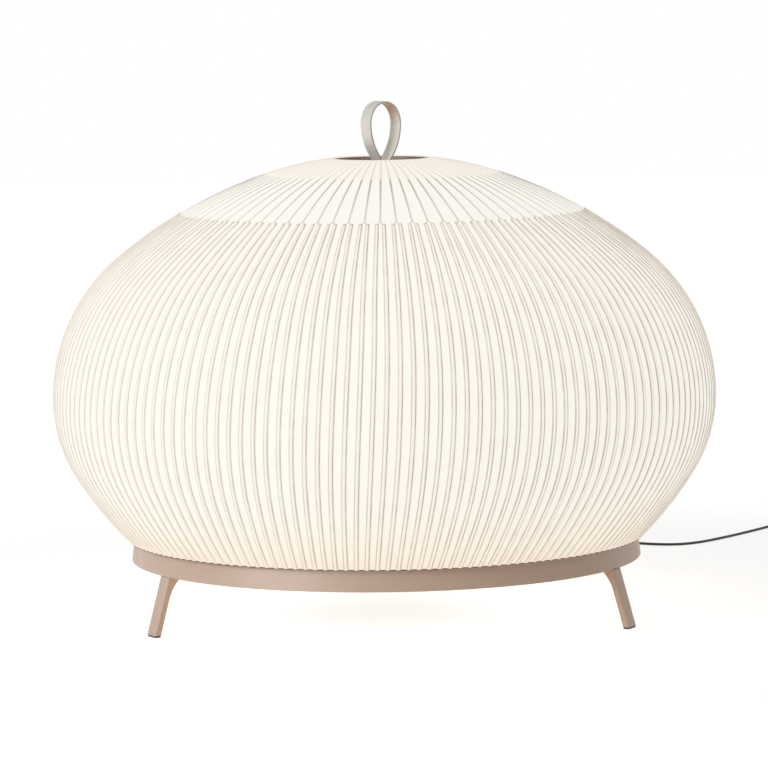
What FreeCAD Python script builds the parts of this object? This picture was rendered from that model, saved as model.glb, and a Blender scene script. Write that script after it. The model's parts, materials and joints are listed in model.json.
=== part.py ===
"""Low floor lamp with a ribbed, bulging fabric shade on a ring base with three splayed legs.

Millimetres, +Z up, origin on the floor under the middle of the lamp.
The front of the lamp faces -Y. Angles in plan are measured from +X.
"""
import FreeCAD
import Part
import Sketcher
import math
import os
from collections import namedtuple
from FreeCAD import Placement, Rotation, Vector

doc = FreeCAD.newDocument("ribbed_floor_lamp")

# Driving dimensions
SIZES = [
    ("shade_radius", 389.0, "widest radius of the shade"),
    ("belly_height", 258.5, "height of the widest place"),
    ("hem_overhang", 6.0, "lower edge of the shade past the ring's upper edge"),
    ("foot_slope", 45.5, "slope of the shade at its lower edge, degrees"),
    ("shade_lift", 0.5, "lower edge of the shade above the ring"),
    ("seam_radius", 236.0, "radius of the seam where the ribs end"),
    ("collar_radius", 138.0, "radius of the collar seam"),
    ("collar_drop", 18.1, "collar seam below the top opening"),
    ("collar_slope", 18.3, "slope of the crown at the collar seam, degrees"),
    ("opening_radius", 58.5, "radius of the top opening"),
    ("opening_height", 537.0, "height of the top opening"),
    ("cover_thickness", 1.2, "knitted cover"),
    ("rib_count", 164, "flat ribs under the main cover"),
    ("spoke_count", 82, "flat ribs under the crown"),
    ("spoke_turn", -90.5, "direction of the front crown rib, degrees"),
    ("rib_width", 3.6, "ribs of the shade"),
    ("spoke_width", 2.6, "ribs of the crown"),
    ("rib_thickness", 1.0, "all ribs"),
    ("wire_radius", 2.0, "hoops inside the shade"),
    ("seat_gap", 0.3, "gap between a soft or curved piece and its seat"),
    ("ring_radius", 300.0, "outer radius of the base ring at its lower edge"),
    ("ring_taper", 3.0, "how much narrower the ring is at its upper edge"),
    ("ring_bottom", 68.0, "height of the ring's lower edge"),
    ("ring_height", 24.0, "base ring"),
    ("ring_wall", 2.5, "base ring wall"),
    ("ring_edge", 0.8, "rounding of the base ring's edges"),
    ("flange_width", 35.0, "ring flange, inwards"),
    ("flange_thickness", 3.0, "ring flange"),
    ("hoop_width", 18.0, "flat hoop that carries the ribs"),
    ("hoop_thickness", 3.0, "flat hoop that carries the ribs"),
    ("leg_turn", 92.0, "direction of the back leg, degrees"),
    ("leg_width", 19.5, "leg bar, across"),
    ("leg_thickness", 8.4, "leg bar, measured level"),
    ("leg_clearance", 0.3, "leg to ring wall, beside it and under it"),
    ("foot_reach", 20.0, "how far a foot stands out past the ring"),
    ("leg_bend", 50.0, "inner bend between leg and arm"),
    ("leg_edge", 1.6, "rounding of the leg bar's long edges"),
    ("arm_thickness", 10.0, "arm inside the ring"),
    ("arm_start", 30.0, "inner end of an arm"),
    ("glide_height", 2.0, "foot glide"),
    ("glide_inset", 0.8, "glide edge inside the leg's outline"),
    ("bolt_radius", 2.5, "M5 screws of the frame"),
    ("bolt_head_radius", 4.75, "M5 screw heads"),
    ("bolt_head_height", 2.8, "M5 screw heads"),
    ("nut_radius", 4.6, "M5 nuts, across corners"),
    ("nut_height", 4.0, "M5 nuts"),
    ("hole_clearance", 0.1, "screw hole around a screw"),
    ("thread_gap", 0.03, "nut thread around a screw"),
    ("hub_radius", 115.0, "hub plate"),
    ("hub_thickness", 4.0, "hub plate"),
    ("hub_bolt_inner", 46.0, "inner arm screw from the axis"),
    ("hub_bolt_outer", 98.0, "outer arm screw from the axis"),
    ("stem_radius", 8.0, "stem tube"),
    ("stem_wall", 1.5, "stem tube"),
    ("collar_bore_gap", 0.05, "stem collar around the stem"),
    ("stem_flange_radius", 24.0, "stem collar flange"),
    ("stem_flange_height", 6.0, "stem collar flange"),
    ("stem_sleeve_radius", 12.0, "stem collar sleeve"),
    ("stem_sleeve_height", 22.0, "stem collar, whole"),
    ("small_screw_radius", 1.5, "M3 screws"),
    ("small_head_radius", 2.8, "M3 screw heads"),
    ("small_head_height", 1.6, "M3 screw heads"),
    ("stem_screw_circle", 18.0, "stem collar screws from the axis"),
    ("dish_depth", 19.0, "top plate below the opening"),
    ("dish_lip", 1.4, "top ring's upper edge below the opening"),
    ("dish_gap", 0.5, "top ring inside the opening"),
    ("dish_wall", 3.5, "top ring wall"),
    ("dish_flange_width", 11.0, "top ring flange, inwards"),
    ("dish_flange_thickness", 2.5, "top ring flange"),
    ("plate_thickness", 2.0, "top plate"),
    ("handle_turn", 32.0, "turn of the strap loop at rest, degrees"),
    ("strap_width", 21.0, "handle strap"),
    ("strap_thickness", 2.2, "handle strap"),
    ("loop_width", 43.0, "strap loop, outside"),
    ("loop_height", 66.0, "top of the strap loop above the top opening"),
    ("loop_drop", 26.0, "widest place of the loop below its top"),
    ("loop_lean", 42.0, "lean of the strap where it leaves the clamp, degrees"),
    ("strap_bend", 6.0, "bend of the strap at the clamp"),
    ("clamp_wall", 2.0, "strap clamp cheeks"),
    ("clamp_base", 2.5, "strap clamp base"),
    ("clamp_height", 9.0, "strap clamp"),
    ("clamp_end", 1.5, "clamp past the strap's edges"),
    ("strap_play", 0.1, "strap in its clamp, each side"),
    ("swivel_radius", 3.0, "swivel stud"),
    ("swivel_play", 0.06, "swivel stud in the top plate"),
    ("swivel_float", 0.1, "clamp and nut off the plate"),
    ("stud_length", 12.0, "swivel stud below the clamp"),
    ("swivel_nut_radius", 5.5, "swivel nut"),
    ("swivel_nut_height", 4.0, "swivel nut"),
    ("rivet_radius", 1.5, "strap rivets"),
    ("rivet_spacing", 12.0, "between the strap rivets"),
    ("rivet_height", 5.75, "strap rivets above the clamp's foot"),
    ("holder_circle", 75.0, "lampholders from the axis"),
    ("holder_radius", 20.0, "lampholder"),
    ("holder_height", 48.0, "lampholder"),
    ("socket_depth", 26.0, "lampholder socket"),
    ("cap_radius", 13.2, "bulb cap"),
    ("cap_length", 27.0, "bulb cap"),
    ("socket_gap", 0.3, "bulb cap in its socket"),
    ("bulb_radius", 47.5, "bulb globe"),
    ("neck_height", 16.0, "bulb neck between cap and globe"),
    ("bulb_wall", 1.0, "bulb glass and cap"),
    ("box_x", 50.0, "middle of the terminal box"),
    ("box_y", 40.0, "middle of the terminal box"),
    ("box_length", 60.0, "terminal box along X"),
    ("box_depth", 50.0, "terminal box along Y"),
    ("box_height", 24.0, "terminal box"),
    ("box_wall", 2.0, "terminal box wall"),
    ("block_length", 34.0, "terminal block"),
    ("block_depth", 16.0, "terminal block"),
    ("block_height", 12.0, "terminal block"),
    ("cord_radius", 1.75, "mains lead"),
    ("cord_exit_height", 75.0, "mains lead where it leaves the terminal box"),
    ("relief_length", 28.0, "strain relief"),
    ("relief_lead", 25.0, "straight lead behind the strain relief"),
    ("relief_radius", 5.6, "strain relief at the box"),
    ("relief_tip", 3.4, "strain relief at its tip"),
    ("coil_turns", 3, "turns in each of the two layers of the put-away coil"),
    ("coil_radius", 32.5, "outer turn of the coil, middle of the lead"),
    ("coil_gap", 0.55, "between neighbouring turns"),
    ("floor_gap", 0.2, "lead and tie off the floor"),
    ("plug_lead", 15.0, "straight lead between the coil and the plug"),
    ("tie_wall", 0.9, "coil tie"),
    ("tie_width", 6.0, "coil tie"),
    ("switch_length", 70.0, "foot switch"),
    ("switch_lead", 20.0, "straight lead behind the foot switch"),
    ("switch_width", 34.0, "foot switch"),
    ("switch_base_height", 9.0, "foot switch, lower half"),
    ("switch_height", 20.0, "foot switch, whole"),
    ("switch_wall", 2.0, "foot switch walls"),
    ("switch_corner", 6.0, "foot switch corners"),
    ("switch_edge", 1.6, "foot switch upper edge"),
    ("button_radius", 11.0, "foot switch button"),
    ("button_play", 0.1, "button in its hole"),
    ("button_proud", 3.2, "button above the switch"),
    ("button_flange", 1.8, "button flange, outwards and thick"),
    ("button_edge", 1.2, "button upper edge"),
    ("plug_length", 30.0, "plug body"),
    ("plug_width", 35.0, "plug body"),
    ("plug_corner", 4.0, "plug body corners"),
    ("plug_edge", 2.0, "plug body edges"),
    ("plug_tail", 18.0, "plug tail around the lead"),
    ("plug_tail_radius", 5.6, "plug tail at the body"),
    ("pin_radius", 2.0, "plug pins"),
    ("pin_length", 19.0, "plug pins"),
    ("pin_spacing", 18.6, "between the plug pins"),
]

sheet = doc.addObject("Spreadsheet::Sheet", "sizes")
for row, (alias, number, note) in enumerate(SIZES, start=1):
    sheet.set(f"A{row}", note)
    sheet.set(f"B{row}", str(number))
    sheet.setAlias(f"B{row}", alias)
doc.recompute()

NODES = []
UP = Vector(0, 0, 1)
FULL_TURN = 360.0


def size(alias):
    """A driving dimension as a number."""
    return float(getattr(sheet, alias))


def node(item, label):
    """Name a finished piece."""
    item.Label = label
    NODES.append(item)
    return item


# Building helpers

def bind(item, expressions):
    for target, expression in expressions.items():
        item.setExpression(target, expression)


def cylinder(radius, height, base_z="0", x="0", y="0"):
    item = doc.addObject("Part::Cylinder", "cylinder")
    bind(item, {
        "Radius": radius,
        "Height": height,
        "Placement.Base.x": x,
        "Placement.Base.y": y,
        "Placement.Base.z": base_z,
    })
    return item


def box(length, width, height, x, y, z):
    item = doc.addObject("Part::Box", "box")
    bind(item, {
        "Length": length,
        "Width": width,
        "Height": height,
        "Placement.Base.x": x,
        "Placement.Base.y": y,
        "Placement.Base.z": z,
    })
    return item


def cut(base, tool):
    item = doc.addObject("Part::Cut", "cut")
    item.Base = base
    item.Tool = tool
    return item


def fuse(base, tool):
    item = doc.addObject("Part::Fuse", "fuse")
    item.Base = base
    item.Tool = tool
    return item


def compound(items):
    item = doc.addObject("Part::Compound", "compound")
    item.Links = items
    return item


def feature(shape):
    item = doc.addObject("Part::Feature", "feature")
    item.Shape = shape
    return item


def holes(radius, height, base_z, centres):
    """Upright hole cutters on a list of (x, y) expressions."""
    return compound([cylinder(radius, height, base_z, x, y) for x, y in centres])


def around(radius, angles):
    """Expressions for places on a circle about the axis."""
    return [(f"({radius}) * cos({angle})", f"({radius}) * sin({angle})") for angle in angles]


def rounded(base, radius, wanted):
    """Round the edges that a test picks."""
    doc.recompute()
    item = doc.addObject("Part::Fillet", "rounded")
    item.Base = base
    picked = [i for i, edge in enumerate(base.Shape.Edges, start=1) if wanted(edge)]
    item.Edges = [(i, radius, radius) for i in picked]
    return item


def is_upright(edge):
    ends = [vertex.Point for vertex in edge.Vertexes]
    return len(ends) == 2 and (ends[1] - ends[0]).cross(UP).Length < 1e-6


def outline(body, role, corners):
    """Closed straight-sided sketch on an origin plane; corners are pairs of expressions."""
    sketch = body.newObject("Sketcher::SketchObject", "outline")
    plane = next(item for item in body.Origin.OriginFeatures if item.Role == role)
    sketch.AttachmentSupport = [(plane, "")]
    sketch.MapMode = "FlatFace"
    points = [Vector(*[sheet.evalExpression(text) for text in corner], 0) for corner in corners]
    count = len(points)
    for i, point in enumerate(points):
        sketch.addGeometry(Part.LineSegment(point, points[(i + 1) % count]), False)
    for i in range(count):
        sketch.addConstraint(Sketcher.Constraint("Coincident", i, 2, (i + 1) % count, 1))
    for i, (across, upward) in enumerate(corners):
        for kind, text, number in (("DistanceX", across, points[i].x), ("DistanceY", upward, points[i].y)):
            index = sketch.addConstraint(Sketcher.Constraint(kind, -1, 1, i, 1, number))
            sketch.setExpression(f"Constraints[{index}]", text)
    return sketch


def turned(corners):
    """Body revolved about the lamp's axis from a section of (radius, height) expressions."""
    body = doc.addObject("PartDesign::Body", "turned")
    sketch = outline(body, "XZ_Plane", corners)
    revolution = body.newObject("PartDesign::Revolution", "revolution")
    revolution.Profile = sketch
    revolution.ReferenceAxis = (sketch, ["V_Axis"])
    revolution.Angle = FULL_TURN
    body.Tip = revolution
    return body


def screws(places, radius, shank, head_radius, head_height, down=False):
    """Group of pan-head screws; each place is where head and shank meet, shank upwards or down."""
    shapes = []
    way = -1 if down else 1
    for place in places:
        head = Part.makeCylinder(head_radius, head_height, place, UP * -way)
        body = Part.makeCylinder(radius, shank, place, UP * way)
        shapes.append(head.fuse(body).removeSplitter())
    return feature(Part.makeCompound(shapes))


def on_circle(radius, angle, height):
    turn = math.radians(angle)
    return Vector(radius * math.cos(turn), radius * math.sin(turn), height)


# Arcs and smooth paths

Arc = namedtuple("Arc", "start middle end start_way end_way")


def arc_towards(start, way, end):
    """The arc that leaves start in a direction and reaches end."""
    chord = end - start
    end_way = chord * (2 * chord.dot(way) / chord.dot(chord)) - way
    bulge = way - end_way
    half_turn = math.acos(max(-1.0, min(1.0, way.dot(chord) / chord.Length)))
    middle = (start + end) * 0.5
    if bulge.Length > 1e-9:
        middle += bulge.normalize() * (chord.Length / 2 * math.tan(half_turn / 2))
    return Arc(start, middle, end, way, end_way)


def biarc(start, start_way, end, end_way):
    """Two arcs that join two points smoothly in given directions."""
    chord = end - start
    ways = start_way + end_way
    spread = 2 * (1 - start_way.dot(end_way))
    along = chord.dot(ways)
    if spread < 1e-9:
        reach = chord.dot(chord) / (2 * along)
    else:
        reach = (math.sqrt(along ** 2 + spread * chord.dot(chord)) - along) / spread
    first = start + start_way * reach
    second = end - end_way * reach
    joint = (first + second) * 0.5
    return [
        arc_towards(start, start_way, joint),
        arc_towards(joint, (second - first).normalize(), end),
    ]


def edge_of(arc):
    if (arc.start_way - arc.end_way).Length < 1e-7:
        return Part.LineSegment(arc.start, arc.end).toShape()
    return Part.Arc(arc.start, arc.middle, arc.end).toShape()


def side_step(arc, distance, across):
    """The arc moved sideways in its plane; across is the plane's normal."""
    middle_way = (arc.end - arc.start).normalize()
    return Arc(
        arc.start + arc.start_way.cross(across) * distance,
        arc.middle + middle_way.cross(across) * distance,
        arc.end + arc.end_way.cross(across) * distance,
        arc.start_way,
        arc.end_way,
    )


def strip(arcs, near, far, across):
    """Flat face between two side steps of one path."""
    near_side = [side_step(arc, near, across) for arc in arcs]
    far_side = [side_step(arc, far, across) for arc in arcs]
    edges = [edge_of(arc) for arc in near_side + far_side]
    edges.append(Part.LineSegment(near_side[0].start, far_side[0].start).toShape())
    edges.append(Part.LineSegment(near_side[-1].end, far_side[-1].end).toShape())
    return Part.Face(Part.Wire(Part.__sortEdges__(edges)))


def pipe(arcs, radius):
    """Round bar along a smooth path."""
    path = Part.Wire([edge_of(arc) for arc in arcs])
    section = Part.Wire(Part.makeCircle(radius, arcs[0].start, arcs[0].start_way))
    return path.makePipeShell([section], True, False)


# Base: ring, legs, hub

RING_TOP = "(sizes.ring_bottom + sizes.ring_height)"
ARM_TOP = "(sizes.ring_bottom + sizes.ring_height - sizes.flange_thickness)"
HUB_TOP = f"({ARM_TOP} + sizes.hub_thickness)"
FLANGE_EDGE = "(sizes.ring_radius - sizes.ring_taper - sizes.flange_width)"
FLANGE_BOLT = f"({FLANGE_EDGE} + 2.4 * sizes.bolt_head_radius)"
HOLE = "(sizes.bolt_radius + sizes.hole_clearance)"
SMALL_HOLE = "(sizes.small_screw_radius + sizes.hole_clearance)"

ring_top = sheet.evalExpression(RING_TOP)
arm_top = sheet.evalExpression(ARM_TOP)
arm_bottom = arm_top - size("arm_thickness")
hub_top = sheet.evalExpression(HUB_TOP)
flange_bolt = sheet.evalExpression(FLANGE_BOLT)
LEGS = ("back", "left", "right")
LEG_ANGLES = [f"sizes.leg_turn + {index} * 120" for index in range(len(LEGS))]
BETWEEN_LEGS = [f"sizes.leg_turn + 60 + {index} * 120" for index in range(len(LEGS))]
leg_angles = [sheet.evalExpression(text) for text in LEG_ANGLES]
between_legs = [sheet.evalExpression(text) for text in BETWEEN_LEGS]

WALL_INSIDE = (
    "(sizes.ring_radius - sizes.ring_wall - sizes.ring_taper"
    " * (1 - sizes.flange_thickness / sizes.ring_height))"
)
ring_blank = turned([
    ("sizes.ring_radius - sizes.ring_wall", "sizes.ring_bottom"),
    ("sizes.ring_radius", "sizes.ring_bottom"),
    ("sizes.ring_radius - sizes.ring_taper", RING_TOP),
    (FLANGE_EDGE, RING_TOP),
    (FLANGE_EDGE, ARM_TOP),
    (WALL_INSIDE, ARM_TOP),
])
HOOP_SCREW = f"({WALL_INSIDE} - 1.25 * sizes.bolt_head_radius)"
ring_holes = holes(HOLE, "sizes.flange_thickness * 3", f"{ARM_TOP} - sizes.flange_thickness",
                   around(FLANGE_BOLT, LEG_ANGLES) + around(HOOP_SCREW, BETWEEN_LEGS))


def is_outer_ring_edge(edge):
    on_outside = edge.BoundBox.XMax > size("ring_radius") - size("ring_taper") - 1e-3
    return on_outside and edge.Length > size("ring_radius")


base_ring = node(cut(rounded(ring_blank, size("ring_edge"), is_outer_ring_edge), ring_holes), "base_ring")

LEG_IN_RING = f"({WALL_INSIDE} - sizes.leg_clearance)"
LEG_SHOULDER = "(sizes.ring_bottom - sizes.leg_clearance)"
SPLAY = "sizes.foot_reach / sizes.ring_bottom"


def leg_outside(height):
    """Expression for the leg's outer face at a height: it goes on from the ring's outside."""
    return f"sizes.ring_radius + {SPLAY} * (sizes.ring_bottom - ({height}))"


def leg_inside(height):
    return f"{leg_outside(height)} - sizes.leg_thickness"


ARM_BOTTOM = f"({ARM_TOP} - sizes.arm_thickness)"
LEG_HOLES = (FLANGE_BOLT, "sizes.hub_bolt_inner", "sizes.hub_bolt_outer")


def build_leg(name, angle):
    """Bent bar: an arm under the ring's flange and a splayed leg whose shoulder carries the ring's wall."""
    body = doc.addObject("PartDesign::Body", "leg_bar")
    sketch = outline(body, "XZ_Plane", [
        ("sizes.arm_start", ARM_TOP),
        (LEG_IN_RING, ARM_TOP),
        (LEG_IN_RING, LEG_SHOULDER),
        (leg_outside(LEG_SHOULDER), LEG_SHOULDER),
        (leg_outside("sizes.glide_height"), "sizes.glide_height"),
        (leg_inside("sizes.glide_height"), "sizes.glide_height"),
        (leg_inside(ARM_BOTTOM), ARM_BOTTOM),
        ("sizes.arm_start", ARM_BOTTOM),
    ])
    pad = body.newObject("PartDesign::Pad", "bar")
    pad.Profile = sketch
    pad.SideType = "Symmetric"
    pad.setExpression("Length", "sizes.leg_width")
    body.Tip = pad
    bend_height = arm_bottom
    shoulder = sheet.evalExpression(LEG_SHOULDER)
    in_ring_x = sheet.evalExpression(LEG_IN_RING)
    doc.recompute()

    def is_bend(edge):
        points = [vertex.Point for vertex in edge.Vertexes]
        level = all(abs(point.z - bend_height) < 1e-6 for point in points)
        return level and all(point.x > size("arm_start") + 1 for point in points) \
            and abs(points[0].y - points[1].y) > 1

    bend = body.newObject("PartDesign::Fillet", "bend")
    bend.Base = (pad, [f"Edge{i}" for i, edge in enumerate(pad.Shape.Edges, start=1) if is_bend(edge)])
    bend.setExpression("Radius", "sizes.leg_bend")
    body.Tip = bend
    doc.recompute()

    def is_long_edge(edge):
        sides = [abs(abs(vertex.Point.y) - size("leg_width") / 2) < 1e-6 for vertex in edge.Vertexes]
        points = [vertex.Point for vertex in edge.Vertexes]
        along = abs(points[0].y - points[-1].y) < 1e-6
        under_flange = all(abs(point.z - arm_top) < 1e-6 for point in points)
        in_ring = all(point.z > shoulder - 1e-6 and point.x > in_ring_x - 1e-6 for point in points)
        inner_end = all(abs(point.x - size("arm_start")) < 1e-6 for point in points)
        at_glide = all(abs(point.z - size("glide_height")) < 1e-6 for point in points)
        return all(sides) and along and not (under_flange or in_ring or inner_end or at_glide)

    soft = body.newObject("PartDesign::Fillet", "soft_edges")
    soft.Base = (bend, [f"Edge{i}" for i, edge in enumerate(bend.Shape.Edges, start=1) if is_long_edge(edge)])
    soft.setExpression("Radius", "sizes.leg_edge")
    body.Tip = soft
    drilled = cut(body, holes(HOLE, "sizes.arm_thickness * 3", f"{ARM_BOTTOM} - sizes.arm_thickness",
                              [(radius, "0") for radius in LEG_HOLES]))
    drilled.Placement = Placement(Vector(), Rotation(UP, sheet.evalExpression(angle)))
    drilled.setExpression("Placement.Rotation.Angle", angle)
    return node(drilled, f"leg_{name}")


def build_glide(name, angle):
    """Thin pad under a foot."""
    pad = box("sizes.leg_thickness - 2 * sizes.glide_inset", "sizes.leg_width - 2 * sizes.glide_inset",
              "sizes.glide_height", f"{leg_inside('sizes.glide_height')} + sizes.glide_inset",
              "sizes.glide_inset - sizes.leg_width / 2", "0")
    turned_pad = compound([pad])
    turned_pad.Placement = Placement(Vector(), Rotation(UP, sheet.evalExpression(angle)))
    turned_pad.setExpression("Placement.Rotation.Angle", angle)
    return node(turned_pad, f"glide_{name}")


for leg_name, leg_direction in zip(LEGS, LEG_ANGLES):
    build_leg(leg_name, leg_direction)
    build_glide(leg_name, leg_direction)

stem_screw_places = around("sizes.stem_screw_circle", BETWEEN_LEGS)
hub_holes = around("sizes.hub_bolt_inner", LEG_ANGLES) + around("sizes.hub_bolt_outer", LEG_ANGLES)
hub_cutters = compound([
    holes(HOLE, "sizes.hub_thickness * 3", f"{ARM_TOP} - sizes.hub_thickness", hub_holes),
    holes(SMALL_HOLE, "sizes.hub_thickness * 3", f"{ARM_TOP} - sizes.hub_thickness", stem_screw_places),
])
hub_plate = node(cut(cylinder("sizes.hub_radius", "sizes.hub_thickness", ARM_TOP), hub_cutters), "hub_plate")


leg_screw_places = [on_circle(flange_bolt, angle, ring_top) for angle in leg_angles]
node(screws(leg_screw_places, size("bolt_radius"), size("flange_thickness") + size("arm_thickness"),
            size("bolt_head_radius"), size("bolt_head_height"), down=True), "leg_screws")
hub_circles = (size("hub_bolt_inner"), size("hub_bolt_outer"))
hub_screw_places = [on_circle(radius, angle, arm_bottom) for radius in hub_circles for angle in leg_angles]
hub_shank = size("arm_thickness") + size("hub_thickness") + size("nut_height")
node(screws(hub_screw_places, size("bolt_radius"), hub_shank, size("bolt_head_radius"), size("bolt_head_height")),
     "hub_screws")


def nut_at(place, height):
    corners = [on_circle(size("nut_radius"), i * FULL_TURN / 6, 0) for i in range(7)]
    hexagon = Part.Face(Part.makePolygon(corners)).extrude(UP * size("nut_height"))
    nut = hexagon.cut(Part.makeCylinder(size("bolt_radius") + size("thread_gap"), size("nut_height")))
    nut.translate(Vector(place.x, place.y, height))
    return nut


node(feature(Part.makeCompound([nut_at(place, hub_top) for place in hub_screw_places])), "hub_nuts")

# Shade outline: five tangent arcs from the lower edge to the top opening

ACROSS = Vector(0, -1, 0)


def slope_way(degrees, outwards):
    turn = math.radians(degrees)
    return Vector(outwards * math.cos(turn), 0, math.sin(turn))


shade_foot = Vector(size("ring_radius") - size("ring_taper") + size("hem_overhang"), 0,
                    ring_top + size("shade_lift"))
belly = Vector(size("shade_radius"), 0, size("belly_height"))
collar_seam = Vector(size("collar_radius"), 0, size("opening_height") - size("collar_drop"))
opening_edge = Vector(size("opening_radius"), 0, size("opening_height"))
lower_arcs = biarc(shade_foot, slope_way(size("foot_slope"), 1), belly, UP)
upper_arcs = biarc(belly, UP, collar_seam, slope_way(size("collar_slope"), -1))
collar_arc = arc_towards(collar_seam, slope_way(size("collar_slope"), -1), opening_edge)


def centre_of(arc):
    """Middle and radius of an arc that bulges outwards."""
    circle = edge_of(arc).Curve
    return circle.Center, circle.Radius


def split_at_radius(arc, radius):
    """Cut an arc of the crown in two where it crosses a radius."""
    centre, reach = centre_of(arc)
    rise = math.sqrt(reach ** 2 - (radius - centre.x) ** 2)
    point = Vector(radius, 0, centre.z + rise)
    outward = (point - centre).normalize()
    way = ACROSS.cross(outward)
    return arc_towards(arc.start, arc.start_way, point), arc_towards(point, way, arc.end)


def shorten(arc, from_start, from_end):
    """The same arc with a length taken off each end."""
    centre, reach = centre_of(arc)

    def slid(point, way, length):
        turn = length / reach
        outward = (point - centre).normalize()
        moved = outward * math.cos(turn) + way * math.sin(turn)
        return centre + moved * reach, way * math.cos(turn) - outward * math.sin(turn)

    start, start_way = slid(arc.start, arc.start_way, from_start)
    end, _ = slid(arc.end, arc.end_way, -from_end)
    return arc_towards(start, start_way, end)


def cut_at_radius(path, radius):
    """The arcs of a path before and after it crosses a radius on its way in."""
    crossing = next(i for i, arc in enumerate(path) if arc.end.x < radius)
    before, after = split_at_radius(path[crossing], radius)
    return path[:crossing] + [before], [after] + path[crossing + 1:]


def halves(arc):
    """An arc cut in two at its middle."""
    middle_way = (arc.end - arc.start).normalize()
    return [arc_towards(arc.start, arc.start_way, arc.middle), arc_towards(arc.middle, middle_way, arc.end)]


SLEEVE = ("cover_hem", "cover_lower", "cover_belly", "cover_shoulder", "cover_top")
sleeve_arcs, crown_arcs = cut_at_radius(upper_arcs, size("seam_radius"))
while len(lower_arcs) + len(sleeve_arcs) < len(SLEEVE):
    sleeve_arcs = halves(sleeve_arcs[0]) + sleeve_arcs[1:]
main_arcs = lower_arcs + sleeve_arcs
rib_top_arc = main_arcs[-1]


def cover(arcs, label):
    """Thin knitted shell whose outside follows the outline."""
    section = strip(arcs, 0, -size("cover_thickness"), ACROSS)
    return node(feature(section.revolve(Vector(), UP, FULL_TURN)), label)


for band, arc in zip(SLEEVE, main_arcs):
    cover([arc], band)
cover(crown_arcs, "crown_cover")
cover([collar_arc], "collar_cover")


def ring_of_ribs(arcs, depth, width, count, first, label):
    """Flat spring ribs set round the axis, each bent along the outline."""
    face = strip(arcs, -depth, -depth - size("rib_thickness"), ACROSS)
    face.translate(Vector(0, -width / 2, 0))
    rib = face.extrude(Vector(0, width, 0))
    copies = []
    for i in range(int(count)):
        copy = rib.copy()
        copy.rotate(Vector(), UP, first + i * FULL_TURN / count)
        copies.append(copy)
    return node(feature(Part.makeCompound(copies)), label)


inside_cover = size("cover_thickness") + size("seat_gap")
hoop_depth = inside_cover + size("wire_radius")
hoop_end = size("wire_radius") + size("seat_gap")
rib_arcs = main_arcs[:-1] + [shorten(rib_top_arc, 0, hoop_end)]
first_rib = size("spoke_turn") + FULL_TURN / size("rib_count") / 2
ring_of_ribs(rib_arcs, inside_cover, size("rib_width"), size("rib_count"), first_rib, "shade_ribs")

spoke_end = size("seat_gap") + size("rib_thickness")
spoke_arcs = [shorten(crown_arcs[0], hoop_end, 0), *crown_arcs[1:], shorten(collar_arc, 0, spoke_end)]
ring_of_ribs(spoke_arcs, inside_cover, size("spoke_width"), size("spoke_count"), size("spoke_turn"), "crown_ribs")


def wire_hoop(arc, depth, label):
    """Round wire hoop inside the shade at the end of an arc."""
    place = side_step(arc, -depth, ACROSS).end
    hoop = doc.addObject("Part::Torus", "hoop")
    hoop.Radius1 = place.x
    hoop.setExpression("Radius2", "sizes.wire_radius")
    hoop.Placement = Placement(Vector(0, 0, place.z), Rotation())
    return node(hoop, label)


wire_hoop(rib_top_arc, hoop_depth, "upper_hoop")
wire_hoop(crown_arcs[-1], hoop_depth + size("rib_thickness") + size("seat_gap"), "collar_hoop")

# Flat hoop on the ring's flange, with a bevel that the ribs stand on
first_arc = side_step(rib_arcs[0], -inside_cover, ACROSS)
rib_foot = first_arc.start - first_arc.start_way * size("seat_gap")
bevel_way = first_arc.start_way.cross(ACROSS)
hoop_top = ring_top + size("hoop_thickness")
bevel_low = rib_foot
bevel_high = rib_foot + bevel_way * ((hoop_top - rib_foot.z) / bevel_way.z)
hoop_inner = bevel_low.x - size("hoop_width")
hoop_corners = [
    Vector(hoop_inner, 0, ring_top),
    Vector(bevel_low.x, 0, ring_top),
    bevel_low,
    bevel_high,
    Vector(hoop_inner, 0, hoop_top),
    Vector(hoop_inner, 0, ring_top),
]
hoop_section = Part.Face(Part.makePolygon(hoop_corners))
hoop_blank = feature(hoop_section.revolve(Vector(), UP, FULL_TURN))
hoop_holes = holes(HOLE, "sizes.hoop_thickness * 3", f"{RING_TOP} - sizes.hoop_thickness",
                   around(HOOP_SCREW, BETWEEN_LEGS))
node(cut(hoop_blank, hoop_holes), "base_hoop")
hoop_screw_places = [on_circle(sheet.evalExpression(HOOP_SCREW), angle, arm_top) for angle in between_legs]
node(screws(hoop_screw_places, size("bolt_radius"), size("flange_thickness") + size("hoop_thickness"),
            size("bolt_head_radius"), size("bolt_head_height")), "hoop_screws")

# Top: ring, plate, stem

PLATE_TOP = "(sizes.opening_height - sizes.dish_depth)"
PLATE_BOTTOM = f"({PLATE_TOP} - sizes.plate_thickness)"
DISH_BOTTOM = f"({PLATE_BOTTOM} - sizes.dish_flange_thickness)"
DISH_OUT = "(sizes.opening_radius - sizes.dish_gap)"
DISH_IN = f"({DISH_OUT} - sizes.dish_wall)"
DISH_BORE = f"({DISH_OUT} - sizes.dish_flange_width)"
node(turned([
    (DISH_BORE, DISH_BOTTOM),
    (DISH_OUT, DISH_BOTTOM),
    (DISH_OUT, "sizes.opening_height - sizes.dish_lip"),
    (DISH_IN, "sizes.opening_height - sizes.dish_lip"),
    (DISH_IN, PLATE_BOTTOM),
    (DISH_BORE, PLATE_BOTTOM),
]), "top_ring_blank")
top_ring_blank = NODES.pop()
PLATE_SCREW = f"({DISH_BORE} + sizes.small_head_radius + sizes.hole_clearance)"
plate_screw_holes = holes(SMALL_HOLE, "sizes.dish_depth", f"{DISH_BOTTOM} - sizes.plate_thickness",
                          around(PLATE_SCREW, LEG_ANGLES))
top_ring = node(cut(top_ring_blank, plate_screw_holes), "top_ring")

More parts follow.
